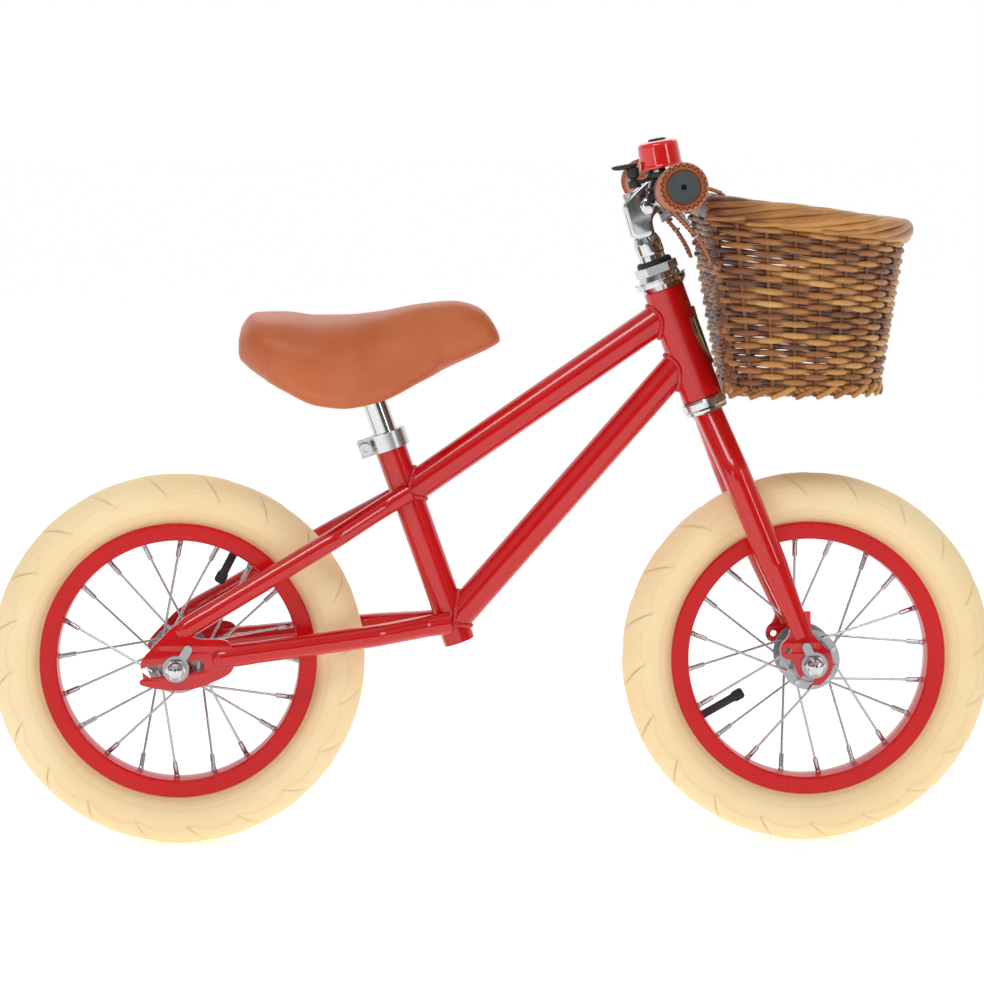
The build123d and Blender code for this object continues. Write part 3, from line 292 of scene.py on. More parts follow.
# ---------------------------------------------------------------- mesh helpers
class Buf:
    """Collects vertices and faces in millimetres, with point attributes and a UV."""

    def __init__(self):
        self.v, self.f, self.a, self.uv = [], [], {}, []

    def extend(self, verts, faces, uv=None, **attrs):
        off = sum(len(x) for x in self.v)
        verts = np.asarray(verts, float).reshape(-1, 3)
        n = len(verts)
        for k in set(self.a) | set(attrs):
            if k not in self.a:
                self.a[k] = [np.zeros(off)]
            val = attrs.get(k, 0.0)
            self.a[k].append(np.full(n, float(val)) if np.isscalar(val) else np.asarray(val, float).reshape(-1))
        self.uv.append(np.zeros((n, 2)) if uv is None else np.asarray(uv, float).reshape(-1, 2))
        self.v.append(verts)
        self.f += [tuple(i + off for i in fc) for fc in faces]

    def build(self, name, mats, smooth=True, uv=False, angle=None):
        me = bpy.data.meshes.new(name)
        v = np.concatenate(self.v) * MM
        me.from_pydata(v.tolist(), [], self.f)
        for k, parts in self.a.items():
            at = me.attributes.new(k, "FLOAT", "POINT")
            at.data.foreach_set("value", np.concatenate(parts).astype(np.float32))
        if uv:
            allu = np.concatenate(self.uv)
            layer = me.uv_layers.new(name="UVMap")
            idx = np.zeros(len(me.loops), np.int32)
            me.loops.foreach_get("vertex_index", idx)
            layer.data.foreach_set("uv", allu[idx].astype(np.float32).reshape(-1))
        me.validate()
        me.update()
        for m in (mats if isinstance(mats, (list, tuple)) else [mats]):
            me.materials.append(m.m)
        ob = bpy.data.objects.new(name, me)
        scene.collection.objects.link(ob)
        if smooth:
            me.polygons.foreach_set("use_smooth", [True] * len(me.polygons))
            if angle is not None:
                me.set_sharp_from_angle(angle=math.radians(angle))
        return ob


def grid_faces(nu, nv, close_u=False, close_v=False, flip=False):
    f = []
    for i in range(nu if close_u else nu - 1):
        for j in range(nv if close_v else nv - 1):
            a, b = i * nv + j, i * nv + (j + 1) % nv
            c, d = ((i + 1) % nu) * nv + (j + 1) % nv, ((i + 1) % nu) * nv + j
            f.append((a, d, c, b) if flip else (a, b, c, d))
    return f


def tube(buf, pts, rad, closed=False, sides=8, up=None, tone=0.5, flat=1.0, caps=True, wobble=0.0, rng=None, edge=0.0):
    """A round or flattened rod along pts. rad is a number or one per point."""
    pts = np.asarray(pts, float)
    n = len(pts)
    rad = np.full(n, rad) if np.isscalar(rad) else np.asarray(rad, float)
    if closed:
        t = np.roll(pts, -1, 0) - np.roll(pts, 1, 0)
    else:
        t = np.gradient(pts, axis=0)
    t /= np.linalg.norm(t, axis=1)[:, None] + 1e-12
    if up is not None:
        upv = np.broadcast_to(np.asarray(up, float), (n, 3))
        nn = upv - (upv * t).sum(1)[:, None] * t
        nn /= np.linalg.norm(nn, axis=1)[:, None] + 1e-12
    else:
        nn = np.zeros((n, 3))
        ref = np.array([0.0, 0.0, 1.0]) if abs(t[0][2]) < 0.9 else np.array([1.0, 0.0, 0.0])
        cur = ref - ref.dot(t[0]) * t[0]
        for i in range(n):
            cur = cur - cur.dot(t[i]) * t[i]
            cur = cur / (np.linalg.norm(cur) + 1e-12)
            nn[i] = cur
    bb = np.cross(t, nn)
    ang = np.linspace(0, 2 * math.pi, sides, endpoint=False)
    ca, sa = np.cos(ang), np.sin(ang)
    v = pts[:, None, :] + rad[:, None, None] * (nn[:, None, :] * ca[None, :, None] + bb[:, None, :] * sa[None, :, None] * flat)
    ln = np.concatenate([[0], np.cumsum(np.linalg.norm(np.diff(pts, axis=0), axis=1))]) * MM
    uv = np.stack([np.repeat(ln[:, None], sides, 1), np.repeat((ang / (2 * math.pi))[None] * 0.03, n, 0)], -1)
    f = grid_faces(n, sides, close_u=closed, close_v=True)
    v = v.reshape(-1, 3)
    uv = uv.reshape(-1, 2)
    if caps and not closed:
        v = np.concatenate([v, [pts[0], pts[-1]]])
        uv = np.concatenate([uv, [uv[0], uv[-1]]])
        c0, c1 = n * sides, n * sides + 1
        for j in range(sides):
            k = (j + 1) % sides
            f.append((c0, k, j))
            f.append((c1, (n - 1) * sides + j, (n - 1) * sides + k))
    tn = tone if np.isscalar(tone) else np.concatenate([np.repeat(np.asarray(tone, float), sides), ([tone[0], tone[-1]] if caps and not closed else [])])
    buf.extend(v, f, uv, tone=tn, edge=edge)


def lathe(buf, profile, origin, axis, x_dir, seg=96, closed_profile=False, a0=0.0, a1=360.0, **attrs):
    """Turns (radius, height) points about an axis through origin."""
    origin, axis, x_dir = (np.asarray(q, float) for q in (origin, axis, x_dir))
    y_dir = np.cross(axis, x_dir)
    full = abs(a1 - a0 - 360) < 1e-6
    ang = np.radians(np.linspace(a0, a1, seg, endpoint=not full))
    pr = np.asarray(profile, float)
    v = (origin + pr[None, :, 1, None] * axis
         + pr[None, :, 0, None] * (np.cos(ang)[:, None, None] * x_dir + np.sin(ang)[:, None, None] * y_dir))
    buf.extend(v.reshape(-1, 3), grid_faces(len(ang), len(pr), close_u=full, close_v=closed_profile), **attrs)


def rounded(points, r, n=4):
    """A polyline (radius, height) with its inner corners rounded."""
    pts = [np.asarray(p[:2], float) for p in points]
    rr = [p[2] if len(p) > 2 else r for p in points]
    out = [pts[0]]
    for i in range(1, len(pts) - 1):
        a, b, c = pts[i - 1], pts[i], pts[i + 1]
        d1, d2 = (a - b), (c - b)
        l1, l2 = np.linalg.norm(d1), np.linalg.norm(d2)
        cut = min(rr[i], l1 * 0.49, l2 * 0.49)
        if cut < 1e-4:
            out.append(b)
            continue
        p, q = b + d1 / l1 * cut, b + d2 / l2 * cut
        for k in range(n + 1):
            t = k / n
            out.append((1 - t) ** 2 * p + 2 * t * (1 - t) * b + t * t * q)
    out.append(pts[-1])
    return np.array(out)


def done(ob, body, replaces=()):
    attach(ob, body)
    if replaces:
        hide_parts(*replaces)
    return ob


def modifier_bevel(ob, width, seg=2, angle=35):
    """Softens a CAD node's edges for the render; its own mesh is left as it is."""
    b = ob.modifiers.new("soft_edges", "BEVEL")
    b.width = width * MM
    b.segments = seg
    b.limit_method = "ANGLE"
    b.angle_limit = math.radians(angle)
    b.harden_normals = False


# ---------------------------------------------------------------- CAD node finishes
FINISH = {
    "head_tube": RED, "top_tube": RED, "down_tube": RED, "seat_tube": RED, "seat_stays": RED,
    "chain_stays": RED, "rear_dropouts": RED, "fork_legs": RED, "fork_dropouts": RED,
    "front_rim": RIM, "rear_rim": RIM, "bell_dome": BELLR,
    "headset_cups": CHROME, "headset_races": CHROME, "stem": CHROME, "seatpost": CHROME,
    "handlebar": CHROME, "front_axle_nuts": CHROME, "rear_axle_nuts": CHROME,
    "fork_steerer": STEEL, "headset_washer": CHROME, "stem_wedge": STEEL, "stem_bolts": STEEL,
    "front_axle": STEEL, "rear_axle": STEEL, "front_cones": STEEL, "rear_cones": STEEL,
    "front_washers": STEEL, "rear_washers": STEEL, "front_spokes": SPOKE, "rear_spokes": SPOKE,
    "front_hub": STEEL, "rear_hub": STEEL, "saddle_clamp": STEEL, "saddle_cheeks": STEEL,
    "saddle_rails": STEEL, "strap_buckles": STEEL, "bell_screws": BLACK, "bell_spring": STEEL,
    "seat_clamp_bolt": CHROME, "seat_clamp": ALLOY, "headset_locknut": ALLOY,
    "front_tyre": CREAM, "rear_tyre": CREAM, "front_inner_tube": RUBBER, "rear_inner_tube": RUBBER,
    "headset_seal": RUBBER, "bell_base": BLACK, "bell_lever": BLACK, "saddle_base": BLACK,
    "grip_plugs": PLUG, "saddle_cover": TAN, "grips": LEATHER, "basket_straps": LEATHER,
    "basket": WICKER, "basket_rim": WICKER, "head_badge": BADGE,
    "headset_bearings": BEARING, "front_bearings": BEARING, "rear_bearings": BEARING,
}
for name, ob in nodes.items():
    mt = FINISH[name].m
    if not ob.material_slots:
        ob.data.materials.append(mt)
    for s in ob.material_slots:
        s.material = mt

RND = random.Random(11)
NPR = np.random.RandomState(7)


def catmull(pts, n):
    """A smooth curve through pts, resampled to n points evenly along its length."""
    p = np.asarray(pts, float)
    q = np.vstack([2 * p[0] - p[1], p, 2 * p[-1] - p[-2]])
    out = []
    for i in range(1, len(q) - 2):
        for k in range(24):
            t = k / 24
            a, b, c, d = q[i - 1], q[i], q[i + 1], q[i + 2]
            out.append(0.5 * (2 * b + (c - a) * t + (2 * a - 5 * b + 4 * c - d) * t * t + (3 * b - 3 * c + d - a) * t ** 3))
    out.append(p[-1])
    out = np.array(out)
    return resample(out, n)


def resample(p, n, closed=False):
    if closed:
        p = np.vstack([p, p[:1]])
    L = np.concatenate([[0], np.cumsum(np.linalg.norm(np.diff(p, axis=0), axis=1))])
    s = np.linspace(0, L[-1], n, endpoint=not closed)
    return np.stack([np.interp(s, L, p[:, k]) for k in range(p.shape[1])], 1)


# ---------------------------------------------------------------- tyres and rims
HUBS = {"front": np.array([254.0, 0.0, 150.0]), "rear": np.array([-254.0, 0.0, 150.0])}


def tyre(tag, phase):
    o = HUBS[tag]
    cr_ = catmull([(103.0, 11.7), (107.5, 11.75), (110.8, 12.2), (113.2, 15.4), (117, 19.8), (122, 22.9), (128, 24), (134, 23.1), (139, 20.8),
                   (143.4, 16.8), (146.6, 12), (149, 6.4), (150, 0)], 46)
    r = np.concatenate([cr_[:, 0], cr_[-2::-1, 0]])
    y = np.concatenate([-cr_[:, 1], cr_[-2::-1, 1]])
    inner = catmull([(103.0, 9.2), (111.5, 9.0), (118, 17.4), (128, 20.6), (137, 18.2), (142.6, 10.6), (145.2, 0)], 12)
    ri = np.concatenate([inner[:, 0], inner[-2::-1, 0]])[::-1]
    yi = np.concatenate([-inner[:, 1], inner[-2::-1, 1]])[::-1]
    nu = 1260
    th = np.linspace(0, 2 * math.pi, nu, endpoint=False)
    deg = np.degrees(th)[:, None]
    R = r[None, :]
    Yy = y[None, :]
    depth = np.zeros((nu, len(r)))
    pitch = 18.0
    side = np.sign(Yy) + (Yy == 0)
    off = np.where(side < 0, 0.0, pitch / 2)        # the two sides are staggered
    # long curved sipes, from the middle of the tread down the shoulder
    tt = np.clip((150.0 - R) / 12.4, 0, 1.6)
    centre = phase - 6.8 * tt ** 0.65 + off
    d = (deg - centre + pitch / 2) % pitch - pitch / 2
    mm = np.abs(d) * math.pi / 180 * R
    half = np.interp(R, [132.0, 134.0, 141.0, 146.0, 150.0], [0.0, 0.35, 0.5, 0.6, 0.5])
    w = np.clip((half - mm) / 0.45 + 0.3, 0, 1)
    depth = np.maximum(depth, 1.45 * w * (R > 132.5) * (np.abs(Yy) > 1.2))
    lobe = (d < 0) * np.exp(-np.abs(d) / 2.6) * np.clip((R - 134) / 6, 0, 1)
    depth = depth + 0.85 * lobe
    # short sipes half way between them, lower on the shoulder
    tt2 = np.clip((146.0 - R) / 11.0, 0, 1.4)
    d = (deg - (phase + pitch / 2 - 4.6 * tt2 ** 0.8 + off) + pitch / 2) % pitch - pitch / 2
    mm = np.abs(d) * math.pi / 180 * R
    half = np.interp(R, [134.5, 137.0, 139.0, 141.5], [0.0, 0.6, 0.7, 0.0])
    depth = np.maximum(depth, 0.8 * np.clip((half * 0.7 - mm) / 0.5, 0, 1))
    # fish scale shoulder: the tread stands proud of the side wall with a scalloped edge
    e = np.abs((deg - phase - 2.0 - off + pitch / 2) % pitch - pitch / 2) / (pitch / 2)
    edge_r = 137.5 - 4.6 * e ** 2.2
    step = 1 / (1 + np.exp(-(R - edge_r) / 0.28))
    depth = depth + 0.55 * (1 - step) * (R > 112)
    # painted shade along the step of the scalloped tread edge
    tread_edge_shade = np.exp(-((R - edge_r) / 0.8) ** 2) * (R > 125)
    # ring line low on the side wall, and the bead line by the rim
    ring = np.exp(-((R - 120.0) / 0.55) ** 2)
    depth = depth + 0.45 * ring + 0.5 * np.exp(-((R - 112.6) / 0.5) ** 2)
    # shallow centre groove
    depth = depth + 1.0 * np.exp(-(Yy / 0.9) ** 2)
    keep = (R > 104.5)
    depth = depth * keep
    # push along the section's inward normal
    dr, dy = np.gradient(r), np.gradient(y)
    nl = np.hypot(dr, dy)
    nr, ny = -dy / nl, dr / nl
    s = np.sign((nr * (128 - r) + ny * (0 - y)).mean())
    nr, ny = nr * s, ny * s
    rr = R + depth * nr[None, :]
    yy = Yy + depth * ny[None, :]
    rr = np.concatenate([rr, np.repeat(ri[None], nu, 0)], 1)
    yy = np.concatenate([yy, np.repeat(yi[None], nu, 0)], 1)
    # painted shade: the deeper the groove, the darker the rubber is painted
    g = np.concatenate([np.clip((depth - 0.5) / 1.8, 0, 1) * 0.9 + 0.22 * tread_edge_shade, np.zeros((nu, len(ri)))], 1)
    # painted shade: a darker band on the side wall just beside the rim
    shade = np.concatenate([0.32 * np.exp(-((R - 111.5) / 2.2) ** 2) * np.ones((nu, 1)), np.zeros((nu, len(ri)))], 1)
    v = np.stack([o[0] + rr * np.cos(th)[:, None], o[1] + yy, o[2] + rr * np.sin(th)[:, None]], -1)
    b = Buf()
    b.extend(v.reshape(-1, 3), grid_faces(nu, rr.shape[1], True, True), groove=np.clip(g + shade, 0, 1).reshape(-1))
    ob = b.build(f"{tag}_tyre_tread", CREAM)
    done(ob, f"{tag}_wheel", [f"{tag}_tyre"])


tyre("rear", 119.2)
tyre("front", -37.5 + 2.0 + 9.0)


def rim(tag, valve):
    o = HUBS[tag]
    b = Buf()
    prof = rounded([(98.0, 0), (98.0, 5.5, .6), (101.4, 7.5, .5), (101.4, 11.7, .3), (110.0, 11.7, .3), (110.9, 12.1, .5), (110.9, 14.0, .8),
                    (109.6, 14.35, .5), (98.6, 14.35, .6), (97.5, 13.9, .8), (97.0, 12.6, .5), (96.7, 9.0, 1.2), (96.1, 4.5, 1.5), (96.0, 0)], 0.5, 4)
    full = np.concatenate([prof, (prof * [1, -1])[-2:0:-1]])
    lathe(b, full, o, (0, 1, 0), (1, 0, 0), seg=400, closed_profile=True)
    ob = b.build(f"{tag}_rim_hoop", RIM, angle=50)
    done(ob, f"{tag}_wheel", [f"{tag}_rim"])


rim("front", 209.6)
rim("rear", 62.4)


# ---------------------------------------------------------------- basket
def dloop(a, w, c, r, n=400):
    """Plan of the basket: a flat back, short sides, a bowed front."""
    x0 = (a * a - c * c - w * w) / (2 * (a - c))
    R = a - x0
    t1 = math.atan2(w, c - x0)
    pts = [(-a, y) for y in np.linspace(-(w - r), w - r, 60)]
    pts += [(-a + r + r * math.cos(t), w - r + r * math.sin(t)) for t in np.linspace(math.pi, math.pi / 2, 16)[1:]]
    pts += [(x, w) for x in np.linspace(-a + r, c, 24)[1:]]
    pts += [(x0 + R * math.cos(t), R * math.sin(t)) for t in np.linspace(t1, -t1, 120)[1:]]
    pts += [(x, -w) for x in np.linspace(c, -a + r, 24)[1:]]
    pts += [(-a + r + r * math.cos(t), -(w - r) + r * math.sin(t)) for t in np.linspace(-math.pi / 2, -math.pi, 16)[1:-1]]
    return resample(np.array(pts), n, True)


TILT = math.radians(7.05)
CR, SR = math.cos(TILT), math.sin(TILT)


def rim_pt(p, up=0.0):
    p = np.asarray(p, float)
    return np.stack([246.5 + p[..., 0] * CR + up * SR, p[..., 1], 495.3 - p[..., 0] * SR + up * CR], -1)


def floor_pt(p, up=0.0):
    p = np.asarray(p, float)
    return np.stack([248.7 + p[..., 0], p[..., 1], np.full(p.shape[:-1], 368.0 + up)], -1)


NST = 28
SAMP = 14
NW = NST * SAMP
WALL_IN = 4.2
LO = dloop(63.2 - WALL_IN, 82.0 - WALL_IN, -10.0, 13.0, NW)
HI = dloop(84.0 - WALL_IN, 112.0 - WALL_IN, -12.0, 13.0, NW)


def wall(h):
    """Middle of the wall, all the way round, at a share h of its height; and the outward direction."""
    p = floor_pt(LO, 0.0) * (1 - h) + rim_pt(HI) * h
    t = np.roll(p, -1, 0) - np.roll(p, 1, 0)
    t /= np.linalg.norm(t, axis=1)[:, None]
    n = np.cross(t, [0, 0, 1.0])
    n /= np.linalg.norm(n, axis=1)[:, None]
    c = p.mean(0)
    if ((p - c) * n).sum() < 0:
        n = -n
    return p, n


def smooth_noise(n, knots, rs):
    k = rs.rand(knots)
    x = np.arange(n) / n * knots
    i = x.astype(int) % knots
    f = x - np.floor(x)
    f = f * f * (3 - 2 * f)
    return k[i] * (1 - f) + k[(i + 1) % knots] * f


weave = Buf()
rows = 27
ph = 2 * math.pi * (NST / 2) * np.arange(NW) / NW
h_lo, h_hi = 0.035, 0.985
SEG = (np.arange(NW) * (NST // 2) / NW)
for j in range(rows):
    h = h_lo + (h_hi - h_lo) * j / (rows - 1)
    p, n = wall(h)
    wave = np.cos(ph + math.pi * j)
    sw = np.sign(wave) * np.abs(wave) ** 0.8
    amp = 2.15
    z = 0.30 * np.sin(ph * 0.5 + RND.random() * 6.28) + 0.7 * (smooth_noise(NW, 17, NPR) - 0.5)
    q = p + n * (amp * sw)[:, None]
    q[:, 2] += z
    seg = np.floor((ph + math.pi * j + math.pi) / (2 * math.pi)).astype(int) % (NST // 2)
    base = 0.42 + 0.22 * (RND.random() - 0.5)
    tones = base + 0.42 * (NPR.rand(NST // 2) - 0.5)
    rad = (2.05 + 0.5 * np.clip(wave, -1, 1) ** 2) * (1 + 0.10 * (smooth_noise(NW, 14, NPR) - 0.5))
    # painted shade: each row is darker where it dips behind the stakes, and darker towards the back of the basket
    tone = tones[seg] + 0.06 - 0.15 * (wave < 0.15) - 0.16 * np.clip((212 - q[:, 0]) / 40, 0, 1)
    tube(weave, q, rad, closed=True, sides=9, up=(0, 0, 1), tone=np.clip(tone, 0.02, 1), flat=0.86)
for k in range(NST):
    i = int((k + 0.0) * NW / NST) % NW
    path = []
    for h in np.linspace(-0.01, 1.06, 16):
        p, n = wall(h)
        path.append(p[i] - n[i] * 0.15)
    tube(weave, catmull(np.array(path), 24), 1.9, sides=8, tone=0.16 + 0.12 * RND.random())
# the slanted cut ends of the stakes below the foot
for k in range(NST):
    i = int((k + 0.5) * NW / NST) % NW
    p, n = wall(0.0)
    t = np.roll(p, -1, 0)[i] - p[i]
    t /= np.linalg.norm(t)
    a = p[i] + n[i] * 2.2 + np.array([0, 0, 6.0]) - t * 9
    bq = p[i] + n[i] * 3.2 + np.array([0, 0, -2.6]) + t * (8 + 4 * RND.random())
    tube(weave, catmull(np.array([a, (a + bq) / 2 + n[i] * 0.8, bq]), 8), [2.2] * 6 + [2.1, 1.6], sides=8, tone=0.3 + 0.45 * RND.random())
# foot wale: three rods twisted round the bottom
p0, n0 = wall(0.0)
for k in range(3):
    a = 2 * math.pi * (np.arange(NW) / NW * 30 + k / 3)
    q = p0 + n0 * (2.0 * np.cos(a))[:, None]
    q[:, 2] += 2.4 + 2.2 * np.sin(a)
    tube(weave, q, 1.9, closed=True, sides=8, up=(0, 0, 1), tone=0.28 + 0.14 * k)
# woven base
a_, w_ = 63.2 - 5.5, 82.0 - 5.5
base_loop = dloop(a_, w_, -10.0, 12.0, 600)
bx = np.linspace(-a_ + 3, a_ - 4, 25)
for j, x in enumerate(bx):
    ys = base_loop[np.abs(base_loop[:, 0] - x) < 1.6][:, 1]
    if len(ys) < 2:
        continue
    ymax = np.abs(ys).max() - 0.5
    yy = np.linspace(-ymax, ymax, 90)
    zz = 371.2 + 1.7 * np.cos(math.pi * yy / 17.0 + math.pi * j)
    q = np.stack([np.full(90, 248.7 + x), yy, zz], 1)
    tube(weave, q, 2.1, sides=8, up=(1, 0, 0), tone=0.35 + 0.35 * RND.random(), flat=0.85)
for y in np.arange(-68, 68.1, 17.0):
    xs = base_loop[np.abs(base_loop[:, 1] - y) < 1.6][:, 0]
    if len(xs) < 2:
        continue
    q = np.stack([np.linspace(248.7 + xs.min(), 248.7 + xs.max(), 12), np.full(12, y), np.full(12, 371.2)], 1)
    tube(weave, q, 2.3, sides=8, tone=0.3)
ob = weave.build("basket_weave", WICKER, uv=True)
done(ob, "basket", ["basket"])

# twisted border of thick rods
border = Buf()
NR = 760
loop = dloop(81.2, 109.2, -12.0, 14.0, NR)
ctr = rim_pt(loop, 9.6)
tg = np.roll(ctr, -1, 0) - np.roll(ctr, 1, 0)
tg /= np.linalg.norm(tg, axis=1)[:, None]
upv = np.array([SR, 0, CR])
outw = np.cross(tg, upv)
outw /= np.linalg.norm(outw, axis=1)[:, None]
if ((ctr - ctr.mean(0)) * outw).sum() < 0:
    outw = -outw
s_ = np.arange(NR) / NR
along_x = ctr[:, 0]
for k in range(9):
    turns = 3
    a = 2 * math.pi * (-turns * s_ + k / 9) + 0.35 * (smooth_noise(NR, 9, NPR) - 0.5)
    rw = 4.9 * (1 + 0.16 * (smooth_noise(NR, 11, NPR) - 0.5))
    rh = 6.9 * (1 + 0.16 * (smooth_noise(NR, 13, NPR) - 0.5))
    q = ctr + outw * (rw * np.cos(a))[:, None] + upv * (rh * np.sin(a))[:, None]
    tone = 0.48 + 0.30 * (smooth_noise(NR, 7, NPR) - 0.5) + 0.26 * (RND.random() - 0.5)
    # painted shade: the border darkens towards the back of the basket, and it is a little lighter towards the front
    tone = tone - 0.34 * np.clip((215 - along_x) / 45, 0, 1) + 0.06 * np.clip((along_x - 225) / 60, 0, 1)
    tube(border, q, 2.75 + 0.4 * RND.random(), closed=True, sides=10, up=upv, tone=np.clip(tone, 0.03, 1))
for k in range(3):
    a = 2 * math.pi * (-3 * s_ + k / 3)
    q = ctr + outw * (2.0 * np.cos(a))[:, None] + upv * (3.2 * np.sin(a))[:, None]
    tube(border, q, 2.9, closed=True, sides=8, up=upv, tone=0.15)
# a few cut ends that stand off the border
for x, side, dz in ((176, -1, -7.6), (205, -1, -8.0), (262, -1, -7.2), (300, 1, -7.6), (190, 1, -7.8)):
    i = int(np.argmin(np.abs(ctr[:, 0] - x) + 200 * (np.sign(ctr[:, 1]) != side)))
    m = ctr[i] + outw[i] * 5.8 + upv * dz
    q = catmull(np.array([m - tg[i] * 17 + upv * 3, m, m + tg[i] * 15 + outw[i] * 1.4 - upv * 1.0]), 12)
    tube(border, q, [1.7] * 11 + [1.3], sides=8, tone=0.3 + 0.4 * RND.random())
ob = border.build("basket_border", WICKER, uv=True)
done(ob, "basket", ["basket_rim"])


# ---------------------------------------------------------------- leather straps
def strip(buf, path, up_hint, width, thick, edge_soft=0.7, tone=0.5):
    """A strap: path in 3-D, flat side square to the normal given by the path and the y axis; up_hint is not used."""
    p = np.asarray(path, float)
    t = np.gradient(p, axis=0)
    t /= np.linalg.norm(t, axis=1)[:, None]
    wdir = np.array([0, 1.0, 0])
    n = np.cross(t, wdir)
    n /= np.linalg.norm(n, axis=1)[:, None]
    hw, ht = width / 2, thick / 2
    c = edge_soft
    sec = [(-hw, -ht + c), (-hw, ht - c), (-hw + c * .4, ht - c * .3), (-hw + c, ht), (-hw + 1.9, ht), (-hw + 2.3, ht - .22), (-hw + 2.7, ht), (0, ht + 0.12), (hw - 2.7, ht), (hw - 2.3, ht - .22),
           (hw - 1.9, ht), (hw - c, ht), (hw - c * .4, ht - c * .3), (hw, ht - c), (hw, -ht + c), (hw - c * .4, -ht + c * .3), (hw - c, -ht), (0, -ht),
           (-hw + c, -ht), (-hw + c * .4, -ht + c * .3)]
    ed = [1, 1, .8, .3, 0, .0, 0, 0, 0, 0, 0, .3, .8, 1, 1, .8, .3, 0, .3, .8]
    sec = np.array(sec)
    v = p[:, None, :] + sec[None, :, 0, None] * wdir + sec[None, :, 1, None] * n[:, None, :]
    m = len(sec)
    f = grid_faces(len(p), m, False, True)
    vv = np.concatenate([v.reshape(-1, 3), [p[0]], [p[-1]]])
    for j in range(m):
        k = (j + 1) % m
        f.append((len(vv) - 2, k, j))
        f.append((len(vv) - 1, (len(p) - 1) * m + j, (len(p) - 1) * m + k))
    buf.extend(vv, f, edge=np.concatenate([np.tile(ed, len(p)), [1, 1]]) * 0.75, tone=tone)
    return t, n


straps, thread = Buf(), Buf()
BX, BZ = 137.0, 528.0
for sgn in (-1, 1):
    y0 = 81.0 * sgn
    arc = [(BX + 12.75 * math.cos(math.radians(a)), BZ + 12.75 * math.sin(math.radians(a))) for a in np.linspace(66, 222, 12)]
    xz = [(179.6, 489.0), (179.2, 502.0), (178.0, 515.0), (174.0, 524.6), (167.0, 528.1), (160.0, 530.0), (151.5, 534.6)] + arc + \
         [(134.0, 512.9), (141.0, 506.2), (147.8, 499.2), (155.6, 489.8), (162.2, 478.9), (165.5, 470.5)]
    p2 = catmull(np.array(xz), 150)
    p3 = np.stack([p2[:, 0], np.full(len(p2), y0), p2[:, 1]], 1)
    t, n = strip(straps, p3, None, 16.0, 2.3)
    L = np.concatenate([[0], np.cumsum(np.linalg.norm(np.diff(p3, axis=0), axis=1))])
    # which face looks away from the bar
    away = np.sign(((p3 - np.array([BX, y0, BZ])) * n).sum(1).mean())
    for e in (-1, 1):
        s = 3.0
        while s < L[-1] - 3:
            seg = []
            for ds in (-1.15, -0.6, 0.0, 0.6, 1.15):
                q = np.array([np.interp(s + ds, L, p3[:, k]) for k in range(3)])
                nn = np.array([np.interp(s + ds, L, n[:, k]) for k in range(3)]) * away
                lift = 1.12 + (0.28 if abs(ds) < 0.9 else -0.05)
                seg.append(q + nn * lift + np.array([0, e * 5.7, 0]))
            tube(thread, seg, 0.42, sides=6)
            s += 3.3
ob = straps.build("strap_leather", LEATHER)
done(ob, "basket", ["basket_straps"])
ob = thread.build("strap_stitches", THREAD)
done(ob, "basket")

# buckle tongues and keepers
bk = Buf()
for sgn in (-1, 1):
    y0 = 81.0 * sgn
    d = np.array([0.707, 0, 0.707])
    up_ = np.cross(np.array([0, 1.0, 0]), d)
    c0 = np.array([143.3, y0, 505.7]) + d * 2.4
    tube(bk, catmull(np.array([c0 + up_ * 0.5 - d * 0.8, c0 + up_ * -2 + d * 0.6, c0 + up_ * -6.2 + d * 0.1]), 10), 0.95, sides=8)
    # keeper loop lower down the strap
    m = np.array([153.2, y0, 492.9])
    tdir = np.array([0.643, 0, -0.766])
    ndir = np.array([0.766, 0, 0.643])
    loop_pts = []
    for a in np.linspace(0, 2 * math.pi, 33)[:-1]:
        cx, cy = math.cos(a), math.sin(a)
        q = (np.sign(cx) * min(abs(cx) * 1.5, 1) * 9.1, np.sign(cy) * min(abs(cy) * 1.5, 1) * 2.3)
        loop_pts.append(m + np.array([0, q[0], 0]) + ndir * q[1])
    tube(bk, np.array(loop_pts), 0.9, closed=True, sides=8, up=tdir, flat=0.8)
ob = bk.build("strap_hardware", CHROME)
done(ob, "basket")
modifier_bevel(nodes["strap_buckles"], 0.5)


